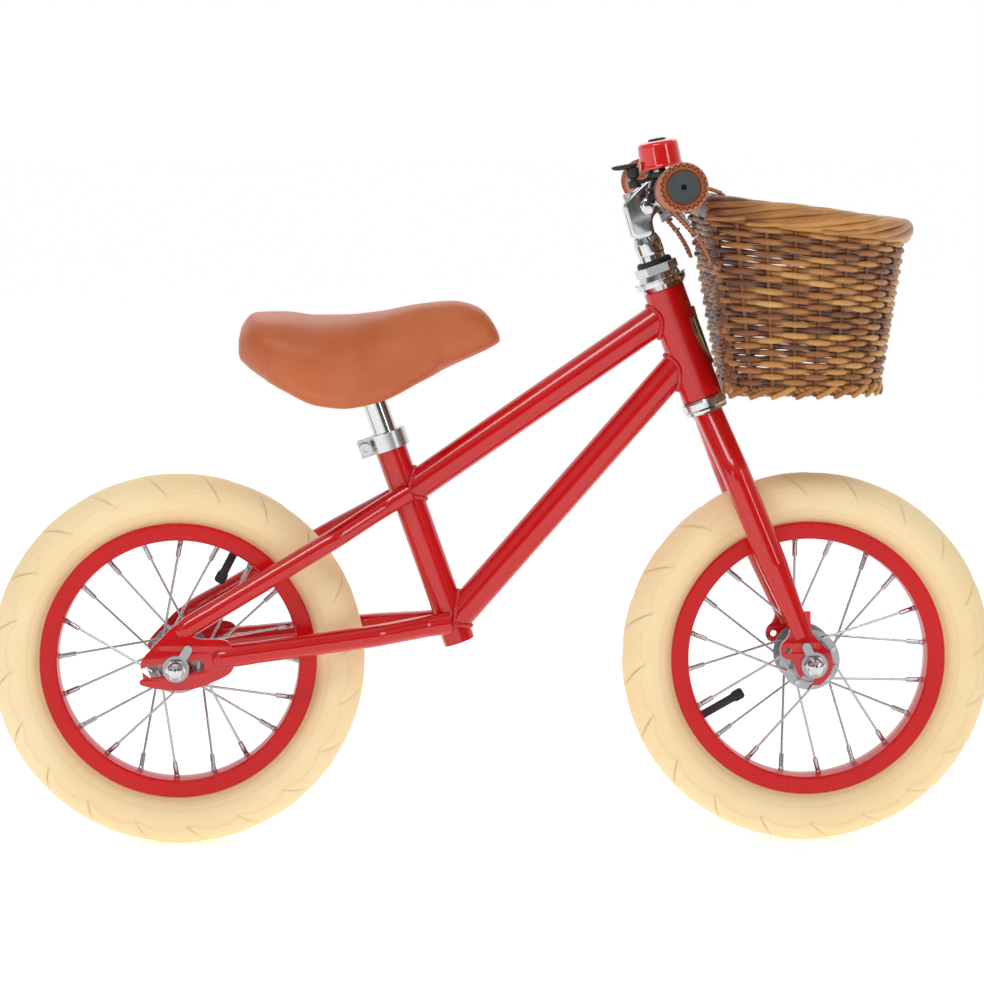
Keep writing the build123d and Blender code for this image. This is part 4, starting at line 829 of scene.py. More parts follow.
# ---------------------------------------------------------------- grips
grip, gthread = Buf(), Buf()
for sgn in (-1, 1):
    bend = np.array([137.0, 95.0 * sgn, 528.0])
    d = np.array([-2.8, 93.0 * sgn, 4.2])
    EL = np.linalg.norm(d)
    d /= EL
    xd = np.array([1.0, 0, 0]) - np.array([1.0, 0, 0]).dot(d) * d
    xd /= np.linalg.norm(xd)
    yd = np.cross(d, xd)
    E = EL
    prof = rounded([(11.15, 5), (15.6, 5, .8), (17.4, 5.6, 1.2), (17.5, 8.6, 1.0), (16.7, 9.6, .6), (16.55, 30, 4), (16.35, 60, 8), (16.55, E - 8.6, 3), (16.9, E - 7.6, .5),
                    (18.5, E - 7.0, .8), (18.9, E - 5.6, 1.2), (18.8, E - 1.6, 1.3), (17.7, E - 0.3, .9), (16.2, E + 0.1, .6), (15.3, E - 0.7, .5), (13.4, E - 0.6, .5), (12.6, E - 1.6, .5),
                    (11.15, E - 1.7)], 0.5, 5)
    edge = np.interp(prof[:, 1], [5, 5.7, 9, E - 7, E - 4, E - 0.2], [0.7, 0.35, 0, 0.15, 0.35, 0.75])
    edge = np.where(prof[:, 0] < 15.6, 0.15, edge)
    seg = 120
    lathe(grip, prof, bend, d, xd, seg=seg, edge=np.tile(edge, seg))
    # seam of stitches under the grip
    ua = None
    for k in range(24):
        s = 13 + k * 3.15
        if s > E - 10:
            break
        down = -yd if yd[2] > 0 else yd
        for e in (-1, 1):
            a0 = bend + d * s + down * 16.6 + xd * e * 1.5
            a1 = bend + d * (s + 1.6) + down * 16.95 + xd * 0.0
            tube(gthread, np.array([a0, (a0 + a1) / 2 + down * 0.35, a1]), 0.42, sides=6)
    # zigzag stitches round the end
    for k in range(24):
        for e in (0, 1):
            a = math.radians(15 * k + 7.5 * e)
            b = math.radians(15 * k + 7.5 * (e + 1))
            r0, r1 = (15.5, 17.6) if e == 0 else (17.6, 15.5)
            pa = bend + d * (E + 0.0 if r0 < 16 else E + 0.0) + (math.cos(a) * xd + math.sin(a) * yd) * r0
            pb = bend + d * E + (math.cos(b) * xd + math.sin(b) * yd) * r1
            tube(gthread, np.array([pa - d * 0.3, (pa + pb) / 2 + d * 0.35, pb - d * 0.2]), 0.5, sides=6)
ob = grip.build("grip_leather", LEATHER)
done(ob, "handlebar", ["grips"])
ob = gthread.build("grip_stitches", THREAD)
done(ob, "handlebar")


# ---------------------------------------------------------------- saddle
SECT = np.array([(-204.0, 410.0, 397.5, 34.0), (-203.0, 415.0, 394.4, 41.0), (-200.0, 421.5, 391.0, 48.0), (-190.0, 429.0, 383.0, 61.0),
                 (-168.0, 429.6, 370.0, 71.5), (-142.0, 427.0, 358.4, 73.0), (-120.0, 427.2, 355.6, 65.0),
                 (-92.0, 430.0, 360.0, 49.0), (-60.0, 436.0, 374.4, 35.5), (-34.0, 438.4, 387.0, 28.5),
                 (-14.0, 434.0, 396.0, 23.0), (-3.0, 424.0, 401.4, 17.5), (2.0, 415.5, 404.4, 12.0), (4.0, 410.5, 406.0, 8.0)])


def monotone(xs, ys, xq):
    """Piecewise cubic through the points that doesn't overshoot."""
    xs, ys, xq = (np.asarray(q, float) for q in (xs, ys, xq))
    h = np.diff(xs)
    d = np.diff(ys) / h
    m = np.zeros_like(ys)
    m[1:-1] = np.where(d[:-1] * d[1:] > 0, (h[:-1] + h[1:]) * 1.0 / ((h[1:]) / np.where(d[:-1] == 0, 1e9, d[:-1]) + (h[:-1]) / np.where(d[1:] == 0, 1e9, d[1:])), 0)
    m[0], m[-1] = d[0], d[-1]
    i = np.clip(np.searchsorted(xs, xq) - 1, 0, len(h) - 1)
    t = (xq - xs[i]) / h[i]
    return ((2 * t ** 3 - 3 * t ** 2 + 1) * ys[i] + (t ** 3 - 2 * t ** 2 + t) * h[i] * m[i]
            + (-2 * t ** 3 + 3 * t ** 2) * ys[i + 1] + (t ** 3 - t ** 2) * h[i] * m[i + 1])


NX = 150
uu = np.linspace(0, 1, NX)
XS = -204.0 + 208.0 * (0.5 - 0.5 * np.cos(math.pi * uu)) * 0.55 + 208.0 * uu * 0.45
ZT = monotone(SECT[:, 0], SECT[:, 1], XS)
ZB = monotone(SECT[:, 0], SECT[:, 2], XS)
HW = monotone(SECT[:, 0], SECT[:, 3], XS)
CAVX = np.array([-186, -182, -170, -145, -120, -90, -64, -48, -42.0])
CAVY = np.array([0.6, 46, 54, 58, 51, 36, 22, 13, 0.6])
HWC = np.interp(XS, CAVX, CAVY, left=0.6, right=0.6)
HWC = np.minimum(HWC, HW - 5.0)
HWC = np.maximum(HWC, 0.6)
CEIL = np.where(HWC > 1.0, 412.0, ZB + 0.6)
CEIL = np.minimum(CEIL, ZT - 5.0)
CEIL = np.maximum(CEIL, ZB + 0.4)
saddle = Buf()
rings = []
NS = 96
for i in range(NX):
    zt, zb, hw, cv, ce = ZT[i], ZB[i], HW[i], HWC[i], CEIL[i]
    h = zt - zb
    r = 0.42 * min(2 * hw, h)
    r2 = min(r, max(2.0, (hw - cv) * 0.8, h * 0.12)) if cv > 1 else r
    # outer line, from the skirt's foot on one side over the top to the other
    pts = []
    for a in np.linspace(-90, 0, 18):
        pts.append((hw - r2 + r2 * math.cos(math.radians(a)), zb + r2 + r2 * math.sin(math.radians(a))))
    zm = zb + max(r2, 0.40 * h)
    n_s = 10
    for k in range(1, n_s):
        pts.append((hw, zb + r2 + (zm - zb - r2) * k / n_s))
    for a in np.linspace(0, 90, 40)[:-1]:
        ca, sa = math.cos(math.radians(a)), math.sin(math.radians(a))
        pts.append((hw * ca ** (2 / 2.7), zm + (zt - zm) * sa ** (2 / 2.3)))
    half = np.array(pts)
    left = half[::-1] * [-1, 1]
    outer = np.vstack([half, [[0, zt]], left])
    f0 = max(hw - r2, cv)
    foot = [(cv + (f0 - cv) * k, zb) for k in (0.0, 0.33, 0.66)]
    inner_side = [(cv, zb + (ce - zb) * k) for k in (0.25, 0.5, 0.75, 1.0)]
    ceil = [(cv * k, ce) for k in (0.75, 0.5, 0.25)]
    right_in = [(y, z) for y, z in (ceil[::-1] + inner_side[::-1])] + foot
    ring = np.vstack([right_in, outer, [(-y, z) for y, z in right_in[::-1]], [[0, ce]]])
    rings.append(np.column_stack([np.full(len(ring), XS[i]), ring]))
m = len(rings[0])
v = np.array(rings)
f = grid_faces(NX, m, False, True)
vv = v.reshape(-1, 3)
c0 = rings[0].mean(0)
c1 = rings[-1].mean(0)
vv = np.vstack([vv, [c0], [c1]])
for j in range(m):
    k = (j + 1) % m
    f.append((len(vv) - 2, k, j))
    f.append((len(vv) - 1, (NX - 1) * m + j, (NX - 1) * m + k))
saddle.extend(vv, f)
ob = saddle.build("saddle_padding", TAN, angle=55)
bm = bmesh.new()
bm.from_mesh(ob.data)
bmesh.ops.recalc_face_normals(bm, faces=bm.faces)
bm.to_mesh(ob.data)
bm.free()
done(ob, "saddle", ["saddle_cover"])


# ---------------------------------------------------------------- weld beads at the tube joints
def bead(buf, o, axis, r, other_o, other_axis, other_r, towards, width=2.0, n=150, ripple=42):
    """A rippled bead where a round tube (o, axis, r) meets another; towards is the way out of the other tube."""
    o, axis, oo, oa = (np.asarray(q, float) for q in (o, axis, other_o, other_axis))
    axis = axis / np.linalg.norm(axis)
    oa = oa / np.linalg.norm(oa)
    e1 = np.cross(axis, [0, 1.0, 0])
    if np.linalg.norm(e1) < 0.1:
        e1 = np.cross(axis, [1.0, 0, 0])
    e1 /= np.linalg.norm(e1)
    e2 = np.cross(axis, e1)
    pts = []
    for k in range(n):
        a = 2 * math.pi * k / n
        p = o + (r + 0.25) * (math.cos(a) * e1 + math.sin(a) * e2)
        d = axis - axis.dot(oa) * oa
        w = (p - oo) - (p - oo).dot(oa) * oa
        A, B, C = d.dot(d), 2 * d.dot(w), w.dot(w) - (other_r + 0.25) ** 2
        disc = B * B - 4 * A * C
        if disc < 0:
            disc = 0
        ts = ((-B + math.sqrt(disc)) / (2 * A), (-B - math.sqrt(disc)) / (2 * A))
        tt = max(ts) if towards > 0 else min(ts)
        pts.append(p + axis * tt)
    pts = np.array(pts)
    rr = width * (1 + 0.10 * np.sin(2 * math.pi * ripple * np.arange(n) / n))
    tube(buf, pts, rr, closed=True, sides=8)


weld = Buf()
st_a = np.array([-math.sin(math.radians(19.5)), 0, math.cos(math.radians(19.5))])
st_o = np.array([-27.7, 0, 163.3])
top_o, top_f = np.array([-70.2, 0, 284.5]), np.array([142.0, 0, 431.0])
dn_o, dn_f = np.array([-33.0, 0, 179.5]), np.array([155.3, 0, 395.0])
bead(weld, top_o, top_f - top_o, 12.7, st_o, st_a, 12.7, 1, n=260, ripple=46)
bead(weld, top_f, top_f - top_o, 12.7, A0, U_ST, 16.5, -1, n=260, ripple=46)
bead(weld, dn_o, dn_f - dn_o, 12.7, st_o, st_a, 12.7, 1, n=260, ripple=46)
bead(weld, dn_f, dn_f - dn_o, 12.7, A0, U_ST, 16.5, -1, n=260, ripple=46)
ob = weld.build("frame_weld_beads", RED)
done(ob, "frame")

# raised edge of the head badge
badge = Buf()
shield = np.array([(0, 26.5), (6, 20), (12.5, 19), (13, 6), (11, -8), (6, -17), (0, -22.5), (-6, -17), (-11, -8), (-13, 6), (-12.5, 19), (-6, 20)], float)
for inset, rad, lift in ((0.7, 0.6, 1.55), (3.0, 0.35, 1.5)):
    sh = shield * (1 - inset / 17.0)
    p2 = resample(sh, 140, True)
    ang = p2[:, 0] / 18.0
    q = A0 + T_ST * ((16.5 + lift) * np.cos(ang))[:, None] + Y * ((16.5 + lift) * np.sin(ang))[:, None] + U_ST * p2[:, 1:2]
    tube(badge, q, rad, closed=True, sides=6)
ob = badge.build("badge_edge", BADGE_EDGE)
done(ob, "frame")

# ---------------------------------------------------------------- inner tubes with their valves
for tag, valve in (("front", 209.6), ("rear", 62.4)):
    o = HUBS[tag]
    b = Buf()
    ring = [(121.5 + 15.6 * math.cos(a), 15.6 * math.sin(a)) for a in np.linspace(0, 2 * math.pi, 28, endpoint=False)]
    lathe(b, ring, o, (0, 1, 0), (1, 0, 0), seg=160, closed_profile=True)
    a = math.radians(valve)
    vd = np.array([math.cos(a), 0, math.sin(a)])
    long_ = 26.5 if tag == "rear" else 37.0
    e0 = 96.0 - long_
    prof = rounded([(0.0, e0), (3.3, e0, 1.0), (4.3, e0 + 1.2, .8), (4.3, e0 + 8.4, .8), (3.5, e0 + 9.8, .5), (3.35, e0 + 11, .4), (3.3, 95.0, .5), (3.9, 98.0, .5), (3.9, 108.0)], 0.5, 4)
    lathe(b, prof, o, vd, (0, 1, 0), seg=36)
    for k in range(12):
        t = 2 * math.pi * k / 12
        e2 = np.cross(vd, [0, 1.0, 0])
        off = (math.cos(t) * Y + math.sin(t) * e2) * 4.25
        tube(b, np.array([o + vd * (e0 + 1.6) + off, o + vd * (e0 + 8.0) + off]), 0.35, sides=5)
    ob = b.build(f"{tag}_tube_and_valve", RUBBER)
    done(ob, f"{tag}_wheel", [f"{tag}_inner_tube"])

# shoulders of the nipples, seated in the rim
for tag, fy, phase in (("front", 23.0, 96.3), ("rear", 27.0, 88.8)):
    o = HUBS[tag]
    b = Buf()
    for k in range(20):
        side = 1 if k % 2 == 0 else -1
        lead = 1 if ((k + 1) // 2) % 2 == 0 else -1
        ph = math.radians(phase + k * 18.0)
        th = ph + lead * math.radians(36.0)
        out = 3.8 if lead > 0 else 2.2
        h = np.array([20.8 * math.cos(th), -side * (fy + lead * out), 20.8 * math.sin(th)])
        e = np.array([95.1 * math.cos(ph), -side * 3.0, 95.1 * math.sin(ph)])
        w = (e - h) / np.linalg.norm(e - h)
        tube(b, np.array([o + e - w * 1.6, o + e - w * 1.2, o + e + w * 0.6, o + e + w * 2.6]), [2.05, 2.3, 2.3, 2.3], sides=20)
    done(b.build(f"{tag}_nipple_shoulders", SPOKE), f"{tag}_wheel")

# ---------------------------------------------------------------- bell
BT = math.radians(10.5)
BU = np.array([-math.sin(BT), 0, math.cos(BT)])
BF = np.array([math.cos(BT), 0, math.sin(BT)])
BO = np.array([128.7, -59.0, 545.9])
b = Buf()
lathe(b, rounded([(15.6, 1.0), (15.9, 0.0, .3), (16.9, 0.0, .5), (17.0, 1.6, .4), (16.5, 2.6, .6), (16.2, 14.0, 4), (15.9, 19.6, 3.4), (11.0, 21.2, 3), (0.0, 21.9)], 0.5, 6), BO, BU, BF, seg=120)
lathe(b, rounded([(15.6, 1.0), (15.2, 18.6, 3), (0.0, 20.4)], 0.5, 6), BO, BU, BF, seg=120)
done(b.build("bell_cup", BELLR), "handlebar", ["bell_dome"])
b = Buf()
lathe(b, rounded([(0.0, 21.0), (7.0, 21.4, .2), (7.2, 22.4, .4), (5.6, 23.0, .5), (2.6, 23.1, .3), (2.2, 22.7, .2), (0.0, 22.7)], 0.3, 4), BO, BU, BF, seg=72)
done(b.build("bell_cap", BLACK), "handlebar")

# thumb lever: a rounded paddle on a boss, with the return spring's housing under it
b = Buf()


def local(f, y, u):
    return BO + BF * f + Y * y + BU * u


outline = []
for k in range(40):
    t = 2 * math.pi * k / 40
    cx, cy = math.cos(t), math.sin(t)
    outline.append((-28.6 + 10.6 * np.sign(cx) * abs(cx) ** 0.75, 6.6 * np.sign(cy) * abs(cy) ** 0.8 * (1.0 - 0.12 * cx)))
outline = np.array(outline)
c = outline.mean(0)
layers = []
for sc, u in ((0.0, 3.2), (0.55, 3.3), (0.86, 3.9), (0.97, 4.7), (1.0, 5.5), (0.96, 6.3), (0.85, 6.9), (0.5, 7.2), (0.0, 7.3)):
    lay = []
    for q in outline:
        x, yv = c + (q - c) * max(sc, 0.02)
        lay.append(local(x, yv, u + 0.0009 * (x + 28.6) ** 2 * 4))
    layers.append(lay)
b.extend(np.array(layers).reshape(-1, 3), grid_faces(len(layers), 40, False, True))
lathe(b, rounded([(0, 3.9), (4.4, 3.9, .4), (5.2, 3.0, .6), (5.2, -3.0, .8), (4.2, -4.2, .5), (2.9, -4.6, .3), (2.9, -6.2, .3), (5.0, -6.6, .6), (5.2, -7.6, .5), (5.0, -12.2, 1.0), (0, -12.6)], 0.5, 4), local(-23.2, 0, 0), BU, BF, seg=48)
arm = []
for f, hw, u0, u1 in ((-25.5, 3.4, -10.8, -6.9), (-16.5, 4.2, -9.8, -6.5), (-9.0, 4.6, -8.6, -5.6), (-5.0, 3.2, -8.0, -5.8)):
    arm.append([local(f, y, u) for y, u in ((-hw, u0 + .8), (-hw, u1 - .8), (-hw + .8, u1), (hw - .8, u1), (hw, u1 - .8), (hw, u0 + .8), (hw - .8, u0), (-hw + .8, u0))])
n0 = len(arm)
f_ = grid_faces(n0, 8, False, True) + [tuple(range(8))[::-1], tuple(range((n0 - 1) * 8, n0 * 8))]
b.extend(np.array(arm).reshape(-1, 3), f_)
lathe(b, rounded([(0, -4.8), (4.0, -4.8, .5), (4.4, -6.2, .5), (4.4, -8.6, .6), (0, -9.0)], 0.4, 3), local(-9.0, 0, 0), BU, BF, seg=40)
ob = b.build("bell_thumb_lever", BLACK, angle=40)
done(ob, "bell_lever", ["bell_lever"])


# ---------------------------------------------------------------- cast stem
def slab(name, outline, hw, mat, bev, seg=5, chaikin=1):
    """A flat outline in x and z with rounded edges, as deep as 2 hw across the bike."""
    p = np.array(outline, float)
    for _ in range(chaikin):
        q = np.roll(p, -1, 0)
        p = np.stack([p * 0.75 + q * 0.25, p * 0.25 + q * 0.75], 1).reshape(-1, 2)
    me = bpy.data.meshes.new(name)
    bm = bmesh.new()
    vs = [bm.verts.new((x * MM, -hw * MM, z * MM)) for x, z in p]
    face = bm.faces.new(vs)
    ext = bmesh.ops.extrude_face_region(bm, geom=[face])
    bmesh.ops.translate(bm, vec=(0, 2 * hw * MM, 0), verts=[v for v in ext["geom"] if isinstance(v, bmesh.types.BMVert)])
    bmesh.ops.recalc_face_normals(bm, faces=bm.faces)
    rim_edges = [e for e in bm.edges if e.calc_face_angle(0) > math.radians(60)]
    bmesh.ops.bevel(bm, geom=rim_edges, offset=bev * MM, segments=seg, profile=0.6, affect="EDGES", clamp_overlap=True)
    bm.to_mesh(me)
    bm.free()
    me.materials.append(mat.m)
    ob = bpy.data.objects.new(name, me)
    scene.collection.objects.link(ob)
    me.polygons.foreach_set("use_smooth", [True] * len(me.polygons))
    me.set_sharp_from_angle(angle=math.radians(38))
    return ob


body = slab("stem_casting", [(110.2, 486.4), (106.9, 497.5), (102.9, 511.2), (102.6, 515.2), (104.6, 518.6), (113.2, 527.4), (121.6, 535.6), (126.0, 538.6), (131.0, 536.0), (136.0, 522.0),
                             (134.2, 513.6), (129.6, 509.6), (126.2, 504.4), (126.6, 498.6), (129.4, 490.8)], 10.4, CHROME, 3.4)
done(body, "stem", ["stem"])
b = Buf()
# quill, collar, clamp barrel and the round side bosses
lathe(b, rounded([(0.5, -14.0), (10.4, -14.0, .6), (10.55, -13.0, .4), (10.55, 76.6), (9.4, 77.0)], 0.4, 3), A0, U_ST, T_ST, seg=96)
lathe(b, rounded([(9.0, 76.4), (10.9, 76.4, .5), (11.2, 78.0, .6), (11.2, 86.4, .8), (10.2, 89.6, 2), (9.4, 92.0)], 0.4, 4), A0, U_ST, T_ST, seg=96)
barrel = rounded([(11.3, -18), (14.4, -18, .5), (15.4, -16.8, .8), (15.4, -10.0, 1), (15.0, -8.6, 1), (15.0, 8.6, 1), (15.4, 10.0, 1), (15.4, 16.8, .8), (14.4, 18, .5), (11.3, 18), (11.3, 0)], 0.5, 4)
lathe(b, barrel, (137.0, 0, 528.0), (0, 1, 0), (1, 0, 0), seg=120, closed_profile=True)
for sgn in (-1, 1):
    pr = np.array(rounded([(0.0, 12.6), (4.6, 12.3, 1.5), (7.2, 10.8, 1.5), (8.6, 8.0)], 0.5, 5))
    lathe(b, pr, (123.2, 0, 514.6), (0, sgn, 0), (1, 0, 0), seg=60)
ob = b.build("stem_quill_and_clamp", CHROME, angle=45)
done(ob, "stem")

# ---------------------------------------------------------------- frame ends and stay tips
b = Buf()


def ortho(plane_o, xd, pts):
    xd = np.asarray(xd, float)
    return [np.asarray(plane_o, float) + xd * u + Y * v for u, v in pts]


ssd = np.array([-math.cos(math.radians(30.4)), 0, -math.sin(math.radians(30.4))])
csd = np.array([-math.cos(math.radians(6.6)), 0, -math.sin(math.radians(6.6))])
for sgn in (-1, 1):
    p = np.array(ortho((-66.9, 0, 286.9), ssd, [(u, sgn * v) for u, v in ((176, 50.8), (182, 51.5), (188, 52.3), (196, 53.2), (203, 54.0), (208, 55.2), (212, 56.3), (215.5, 57.1), (217.4, 57.4))]))
    tube(b, p, [7.6, 8.05, 8.3, 8.4, 8.3, 7.9, 7.0, 5.2, 1.0], sides=32, up=np.cross(ssd, Y))
    p = np.array(ortho((-33.6, 0, 180.0), csd, [(u, sgn * v) for u, v in ((152, 49.8), (158, 50.7), (164, 51.5), (172, 52.6), (179, 53.5), (184, 54.7), (188.5, 56.0), (192.5, 57.0), (194.4, 57.4))]))
    tube(b, p, [8.3, 8.85, 9.1, 9.2, 9.1, 8.7, 7.8, 5.8, 1.0], sides=32, up=np.cross(csd, Y))
ob = b.build("stay_tips", RED)
done(ob, "frame")


def outline_arc(cx, cz, r, a0, a1, n):
    return [(cx + r * math.cos(math.radians(t)), cz + r * math.sin(math.radians(t))) for t in np.linspace(a0, a1, n)]


def smooth_poly(pts, keep=()):
    """Corner cutting, twice, leaving the corners in keep sharp."""
    p = [(x, z, i in keep) for i, (x, z) in enumerate(pts)]
    for _ in range(2):
        q = []
        n = len(p)
        for i in range(n):
            a, c, d = p[i - 1], p[i], p[(i + 1) % n]
            if c[2]:
                q.append(c)
                continue
            for o2, w in ((a, 0.25), (d, 0.25)):
                q.append((c[0] * (1 - w) + o2[0] * w, c[1] * (1 - w) + o2[1] * w, False))
        p = q
    return [(x, z) for x, z, _ in p]


def plates(name, outline, holes, y_in, thick, body, replaces):
    from mathutils.geometry import tessellate_polygon
    me = bpy.data.meshes.new(name)
    verts, faces = [], []
    loops = [outline] + holes
    flat = [q for lp in loops for q in lp]
    tris = tessellate_polygon([[Vector((x, z, 0)) for x, z in lp] for lp in loops])
    for sgn in (-1, 1):
        base = len(verts)
        n = len(flat)
        for y in (y_in, y_in + thick):
            verts += [(x * MM, sgn * y * MM, z * MM) for x, z in flat]
        for t in tris:
            faces.append(tuple(base + i for i in t))
            faces.append(tuple(base + n + i for i in reversed(t)))
        k = 0
        for lp in loops:
            for i in range(len(lp)):
                a, c = base + k + i, base + k + (i + 1) % len(lp)
                faces.append((a, c, c + n, a + n))
            k += len(lp)
    me.from_pydata(verts, [], faces)
    me.validate()
    bm = bmesh.new()
    bm.from_mesh(me)
    bmesh.ops.recalc_face_normals(bm, faces=bm.faces)
    edges = [e for e in bm.edges if len(e.link_faces) == 2 and e.calc_face_angle(0) > math.radians(60)]
    bmesh.ops.bevel(bm, geom=edges, offset=0.7 * MM, segments=3, profile=0.5, affect="EDGES", clamp_overlap=True)
    bm.to_mesh(me)
    bm.free()
    me.materials.append(RED.m)
    ob = bpy.data.objects.new(name, me)
    scene.collection.objects.link(ob)
    me.polygons.foreach_set("use_smooth", [True] * len(me.polygons))
    me.set_sharp_from_angle(angle=math.radians(32))
    done(ob, body, replaces)


SL = math.radians(6.8)
sx, sz = math.cos(SL), math.sin(SL)
slot_top = (-sz * 4.85, sx * 4.85)
rear_out = [(-283.3, 154.6), (-274.3, 165.2), (-252.9, 187.5), (-247.0, 184.0), (-240.2, 173.4), (-216.8, 173.8), (-209.0, 169.5), (-208.0, 158), (-208.0, 150.5), (-212.4, 145.0),
            (-226.8, 138.4), (-242.0, 133.1), (-260.8, 132.6), (-280.5, 136.4), (-283.0, 138.5), (-282.5, 141.0), (-279.0, 142.2)]
slot_line = [(-275.0, 142.6), (-262, 144.4), (-250, 145.6), (-238.6, 147.4)] + outline_arc(-236.3, 152.1, 4.85, -75, 90, 9) + [(-240.0, 156.6), (-250, 155.4), (-262, 154.0), (-276.0, 152.4)]
rear_line = smooth_poly(rear_out) + slot_line
plates("rear_frame_ends", rear_line, [outline_arc(-244.4, 165.4, 2.5, 0, 345, 24)], 55.0, 5.0, "frame", ["rear_dropouts"])
f_out = [(235.5, 193.2), (235.5, 186.0), (232.9, 171.5), (228.2, 168.2), (226.0, 162.2), (227.8, 156.6), (232.6, 154.6), (237.4, 153.6), (240.0, 143.6), (242.4, 140.6), (243.0, 139.9)]
f_back = [(257.6, 133.9), (259.6, 134.4), (266.4, 140.9), (269.9, 151.0), (266.8, 160.4), (259.0, 167.4), (251.9, 174.6), (250.5, 186.0), (250.5, 193.2)]
ax = math.radians(67.2)
ux, uz = math.cos(ax), math.sin(ax)
nx_, nz_ = -uz, ux
fs = [(254 + nx_ * 4.85 - ux * 11.5, 150 + nz_ * 4.85 - uz * 11.5), (254 + nx_ * 4.85, 150 + nz_ * 4.85)]
fs += outline_arc(254, 150, 4.85, 67.2 + 90, 67.2 - 90, 12)[1:-1]
fs += [(254 - nx_ * 4.85, 150 - nz_ * 4.85), (254 - nx_ * 4.85 - ux * 15.5, 150 - nz_ * 4.85 - uz * 15.5)]

def chaikin_open(pts):
    for _ in range(2):
        q = [pts[0]]
        for a, c in zip(pts[:-1], pts[1:]):
            q.append((a[0] * .75 + c[0] * .25, a[1] * .75 + c[1] * .25))
            q.append((a[0] * .25 + c[0] * .75, a[1] * .25 + c[1] * .75))
        q.append(pts[-1])
        pts = q
    return pts


front_line = chaikin_open(f_out) + fs + chaikin_open(f_back)
plates("fork_ends", front_line, [outline_arc(232.9, 162.0, 2.6, 0, 345, 24), outline_arc(247.6, 164.6, 2.5, 0, 345, 24)], 48.0, 5.0, "fork", ["fork_dropouts"])

# soft edges on the CAD pieces that stay in view
for nm, w in (("headset_cups", .4), ("headset_races", .4), ("headset_locknut", .35), ("headset_washer", .25), ("seat_clamp", .5),
              ("front_axle_nuts", .5), ("rear_axle_nuts", .5), ("front_washers", .3), ("rear_washers", .3),
              ("bell_base", .5), ("seat_tube", .5), ("head_tube", .3), ("stem_bolts", .3), ("seat_clamp_bolt", .3),
              ("saddle_clamp", .5), ("saddle_cheeks", .5), ("saddle_base", .5), ("grip_plugs", .4)):
    modifier_bevel(nodes[nm], w)
for nm, ob in nodes.items():
    ob.data.polygons.foreach_set("use_smooth", [True] * len(ob.data.polygons))


# ---------------------------------------------------------------- floor, light and camera
floor_me = bpy.data.meshes.new("floor")
floor_me.from_pydata([(-40, -12, 0), (40, -12, 0), (40, 60, 0), (-40, 60, 0)], [], [(0, 1, 2, 3)])
floor = bpy.data.objects.new("floor", floor_me)
scene.collection.objects.link(floor)
FLOOR_M = bpy.data.materials.new("pale_floor")
FLOOR_M.use_nodes = True
FLOOR_M.node_tree.nodes["Principled BSDF"].inputs["Base Color"].default_value = (0.93, 0.93, 0.93, 1)
FLOOR_M.node_tree.nodes["Principled BSDF"].inputs["Roughness"].default_value = 0.9
FLOOR_M.node_tree.nodes["Principled BSDF"].inputs["Specular IOR Level"].default_value = 0.1
FLOOR_M.node_tree.nodes["Principled BSDF"].inputs["Emission Color"].default_value = (1, 1, 1, 1)
FLOOR_M.node_tree.nodes["Principled BSDF"].inputs["Emission Strength"].default_value = 0.42
floor_me.materials.append(FLOOR_M)

world = bpy.data.worlds.new("studio")
scene.world = world
world.use_nodes = True
nt = world.node_tree
bg = nt.nodes["Background"]
tc = nt.nodes.new("ShaderNodeTexCoord")
sep = nt.nodes.new("ShaderNodeSeparateXYZ")
nt.links.new(tc.outputs["Generated"], sep.inputs[0])


def world_ramp(socket, stops):
    mr = nt.nodes.new("ShaderNodeMapRange")
    mr.inputs["From Min"].default_value = -1
    mr.inputs["From Max"].default_value = 1
    nt.links.new(socket, mr.inputs["Value"])
    rp = nt.nodes.new("ShaderNodeValToRGB")
    el = rp.color_ramp.elements
    el[0].position, el[0].color = stops[0][0], (stops[0][1],) * 3 + (1,)
    el[1].position, el[1].color = stops[-1][0], (stops[-1][1],) * 3 + (1,)
    for pos, c in stops[1:-1]:
        e = el.new(pos)
        e.color = (c, c, c, 1)
    nt.links.new(mr.outputs["Result"], rp.inputs["Fac"])
    return rp.outputs["Color"]


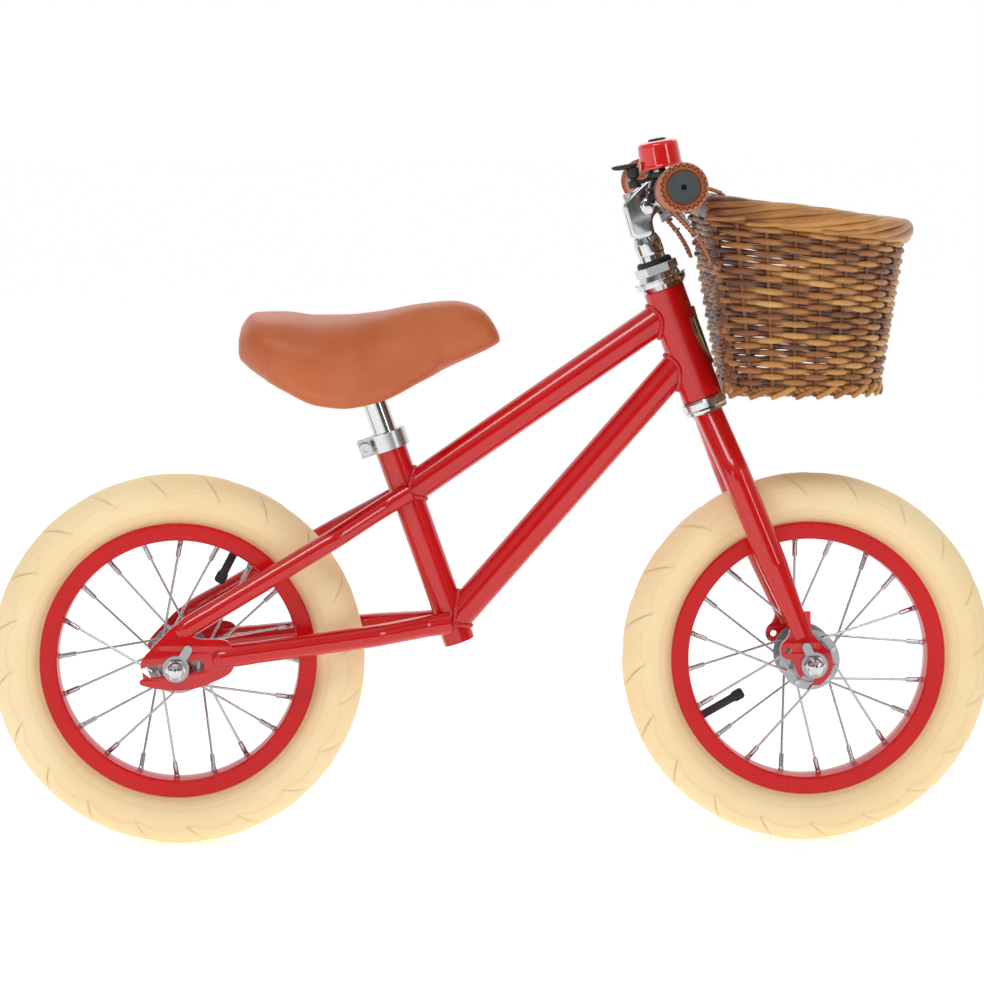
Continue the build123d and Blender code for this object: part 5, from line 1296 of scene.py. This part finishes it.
# white behind the bicycle, a darker room behind the camera, a bright ceiling strip
back_light = world_ramp(sep.outputs["Y"], [(0.0, 0.10), (0.35, 0.16), (0.62, 0.5), (0.8, 1.0), (1.0, 1.0)])
high_light = world_ramp(sep.outputs["Z"], [(0.0, 0.5), (0.48, 0.0), (0.56, 0.0), (0.74, 0.55), (0.84, 0.2), (1.0, 0.8)])
mx = nt.nodes.new("ShaderNodeMix")
mx.data_type = "RGBA"
mx.blend_type = "LIGHTEN"
mx.inputs[0].default_value = 1.0
nt.links.new(back_light, mx.inputs[6])
nt.links.new(high_light, mx.inputs[7])
nt.links.new(mx.outputs[2], bg.inputs["Color"])
bg.inputs["Strength"].default_value = 1.0


def area(name, loc, target, size, size_y, power):
    l = bpy.data.lights.new(name, "AREA")
    l.shape = "RECTANGLE"
    l.size, l.size_y, l.energy = size, size_y, power
    o = bpy.data.objects.new(name, l)
    scene.collection.objects.link(o)
    o.location = loc
    d = Vector(target) - Vector(loc)
    o.rotation_euler = d.to_track_quat("-Z", "Y").to_euler()
    return o


area("key_top", (-0.9, -1.9, 2.5), (0, 0, 0.3), 1.5, 0.7, 24)
area("fill_right", (2.0, -2.3, 1.5), (0, 0, 0.3), 0.5, 1.4, 11)
area("rim_back", (0.3, 1.9, 1.9), (0, 0, 0.35), 2.2, 0.8, 6)
area("front_low", (-1.6, -2.6, 0.7), (0, 0, 0.25), 0.4, 0.9, 3.5)

cam_d = bpy.data.cameras.new("photo_view")
cam_d.lens, cam_d.sensor_width, cam_d.sensor_fit = 136.295, 36.0, "HORIZONTAL"
cam_d.clip_start, cam_d.clip_end = 0.05, 200.0
cam = bpy.data.objects.new("photo_view", cam_d)
scene.collection.objects.link(cam)
yaw, pitch, roll = math.radians(2.43256), math.radians(-5.56769), math.radians(0.10289)
F = Vector((math.sin(yaw) * math.cos(pitch), math.cos(yaw) * math.cos(pitch), math.sin(pitch)))
R = Vector((math.cos(yaw), -math.sin(yaw), 0))
U = R.cross(F)
R2 = R * math.cos(roll) + U * math.sin(roll)
U2 = -R * math.sin(roll) + U * math.cos(roll)
mat = Matrix((R2, U2, -F)).transposed().to_4x4()
mat.translation = Vector((-0.128375, -2.98513, 0.575186))
cam.matrix_world = mat
scene.camera = cam
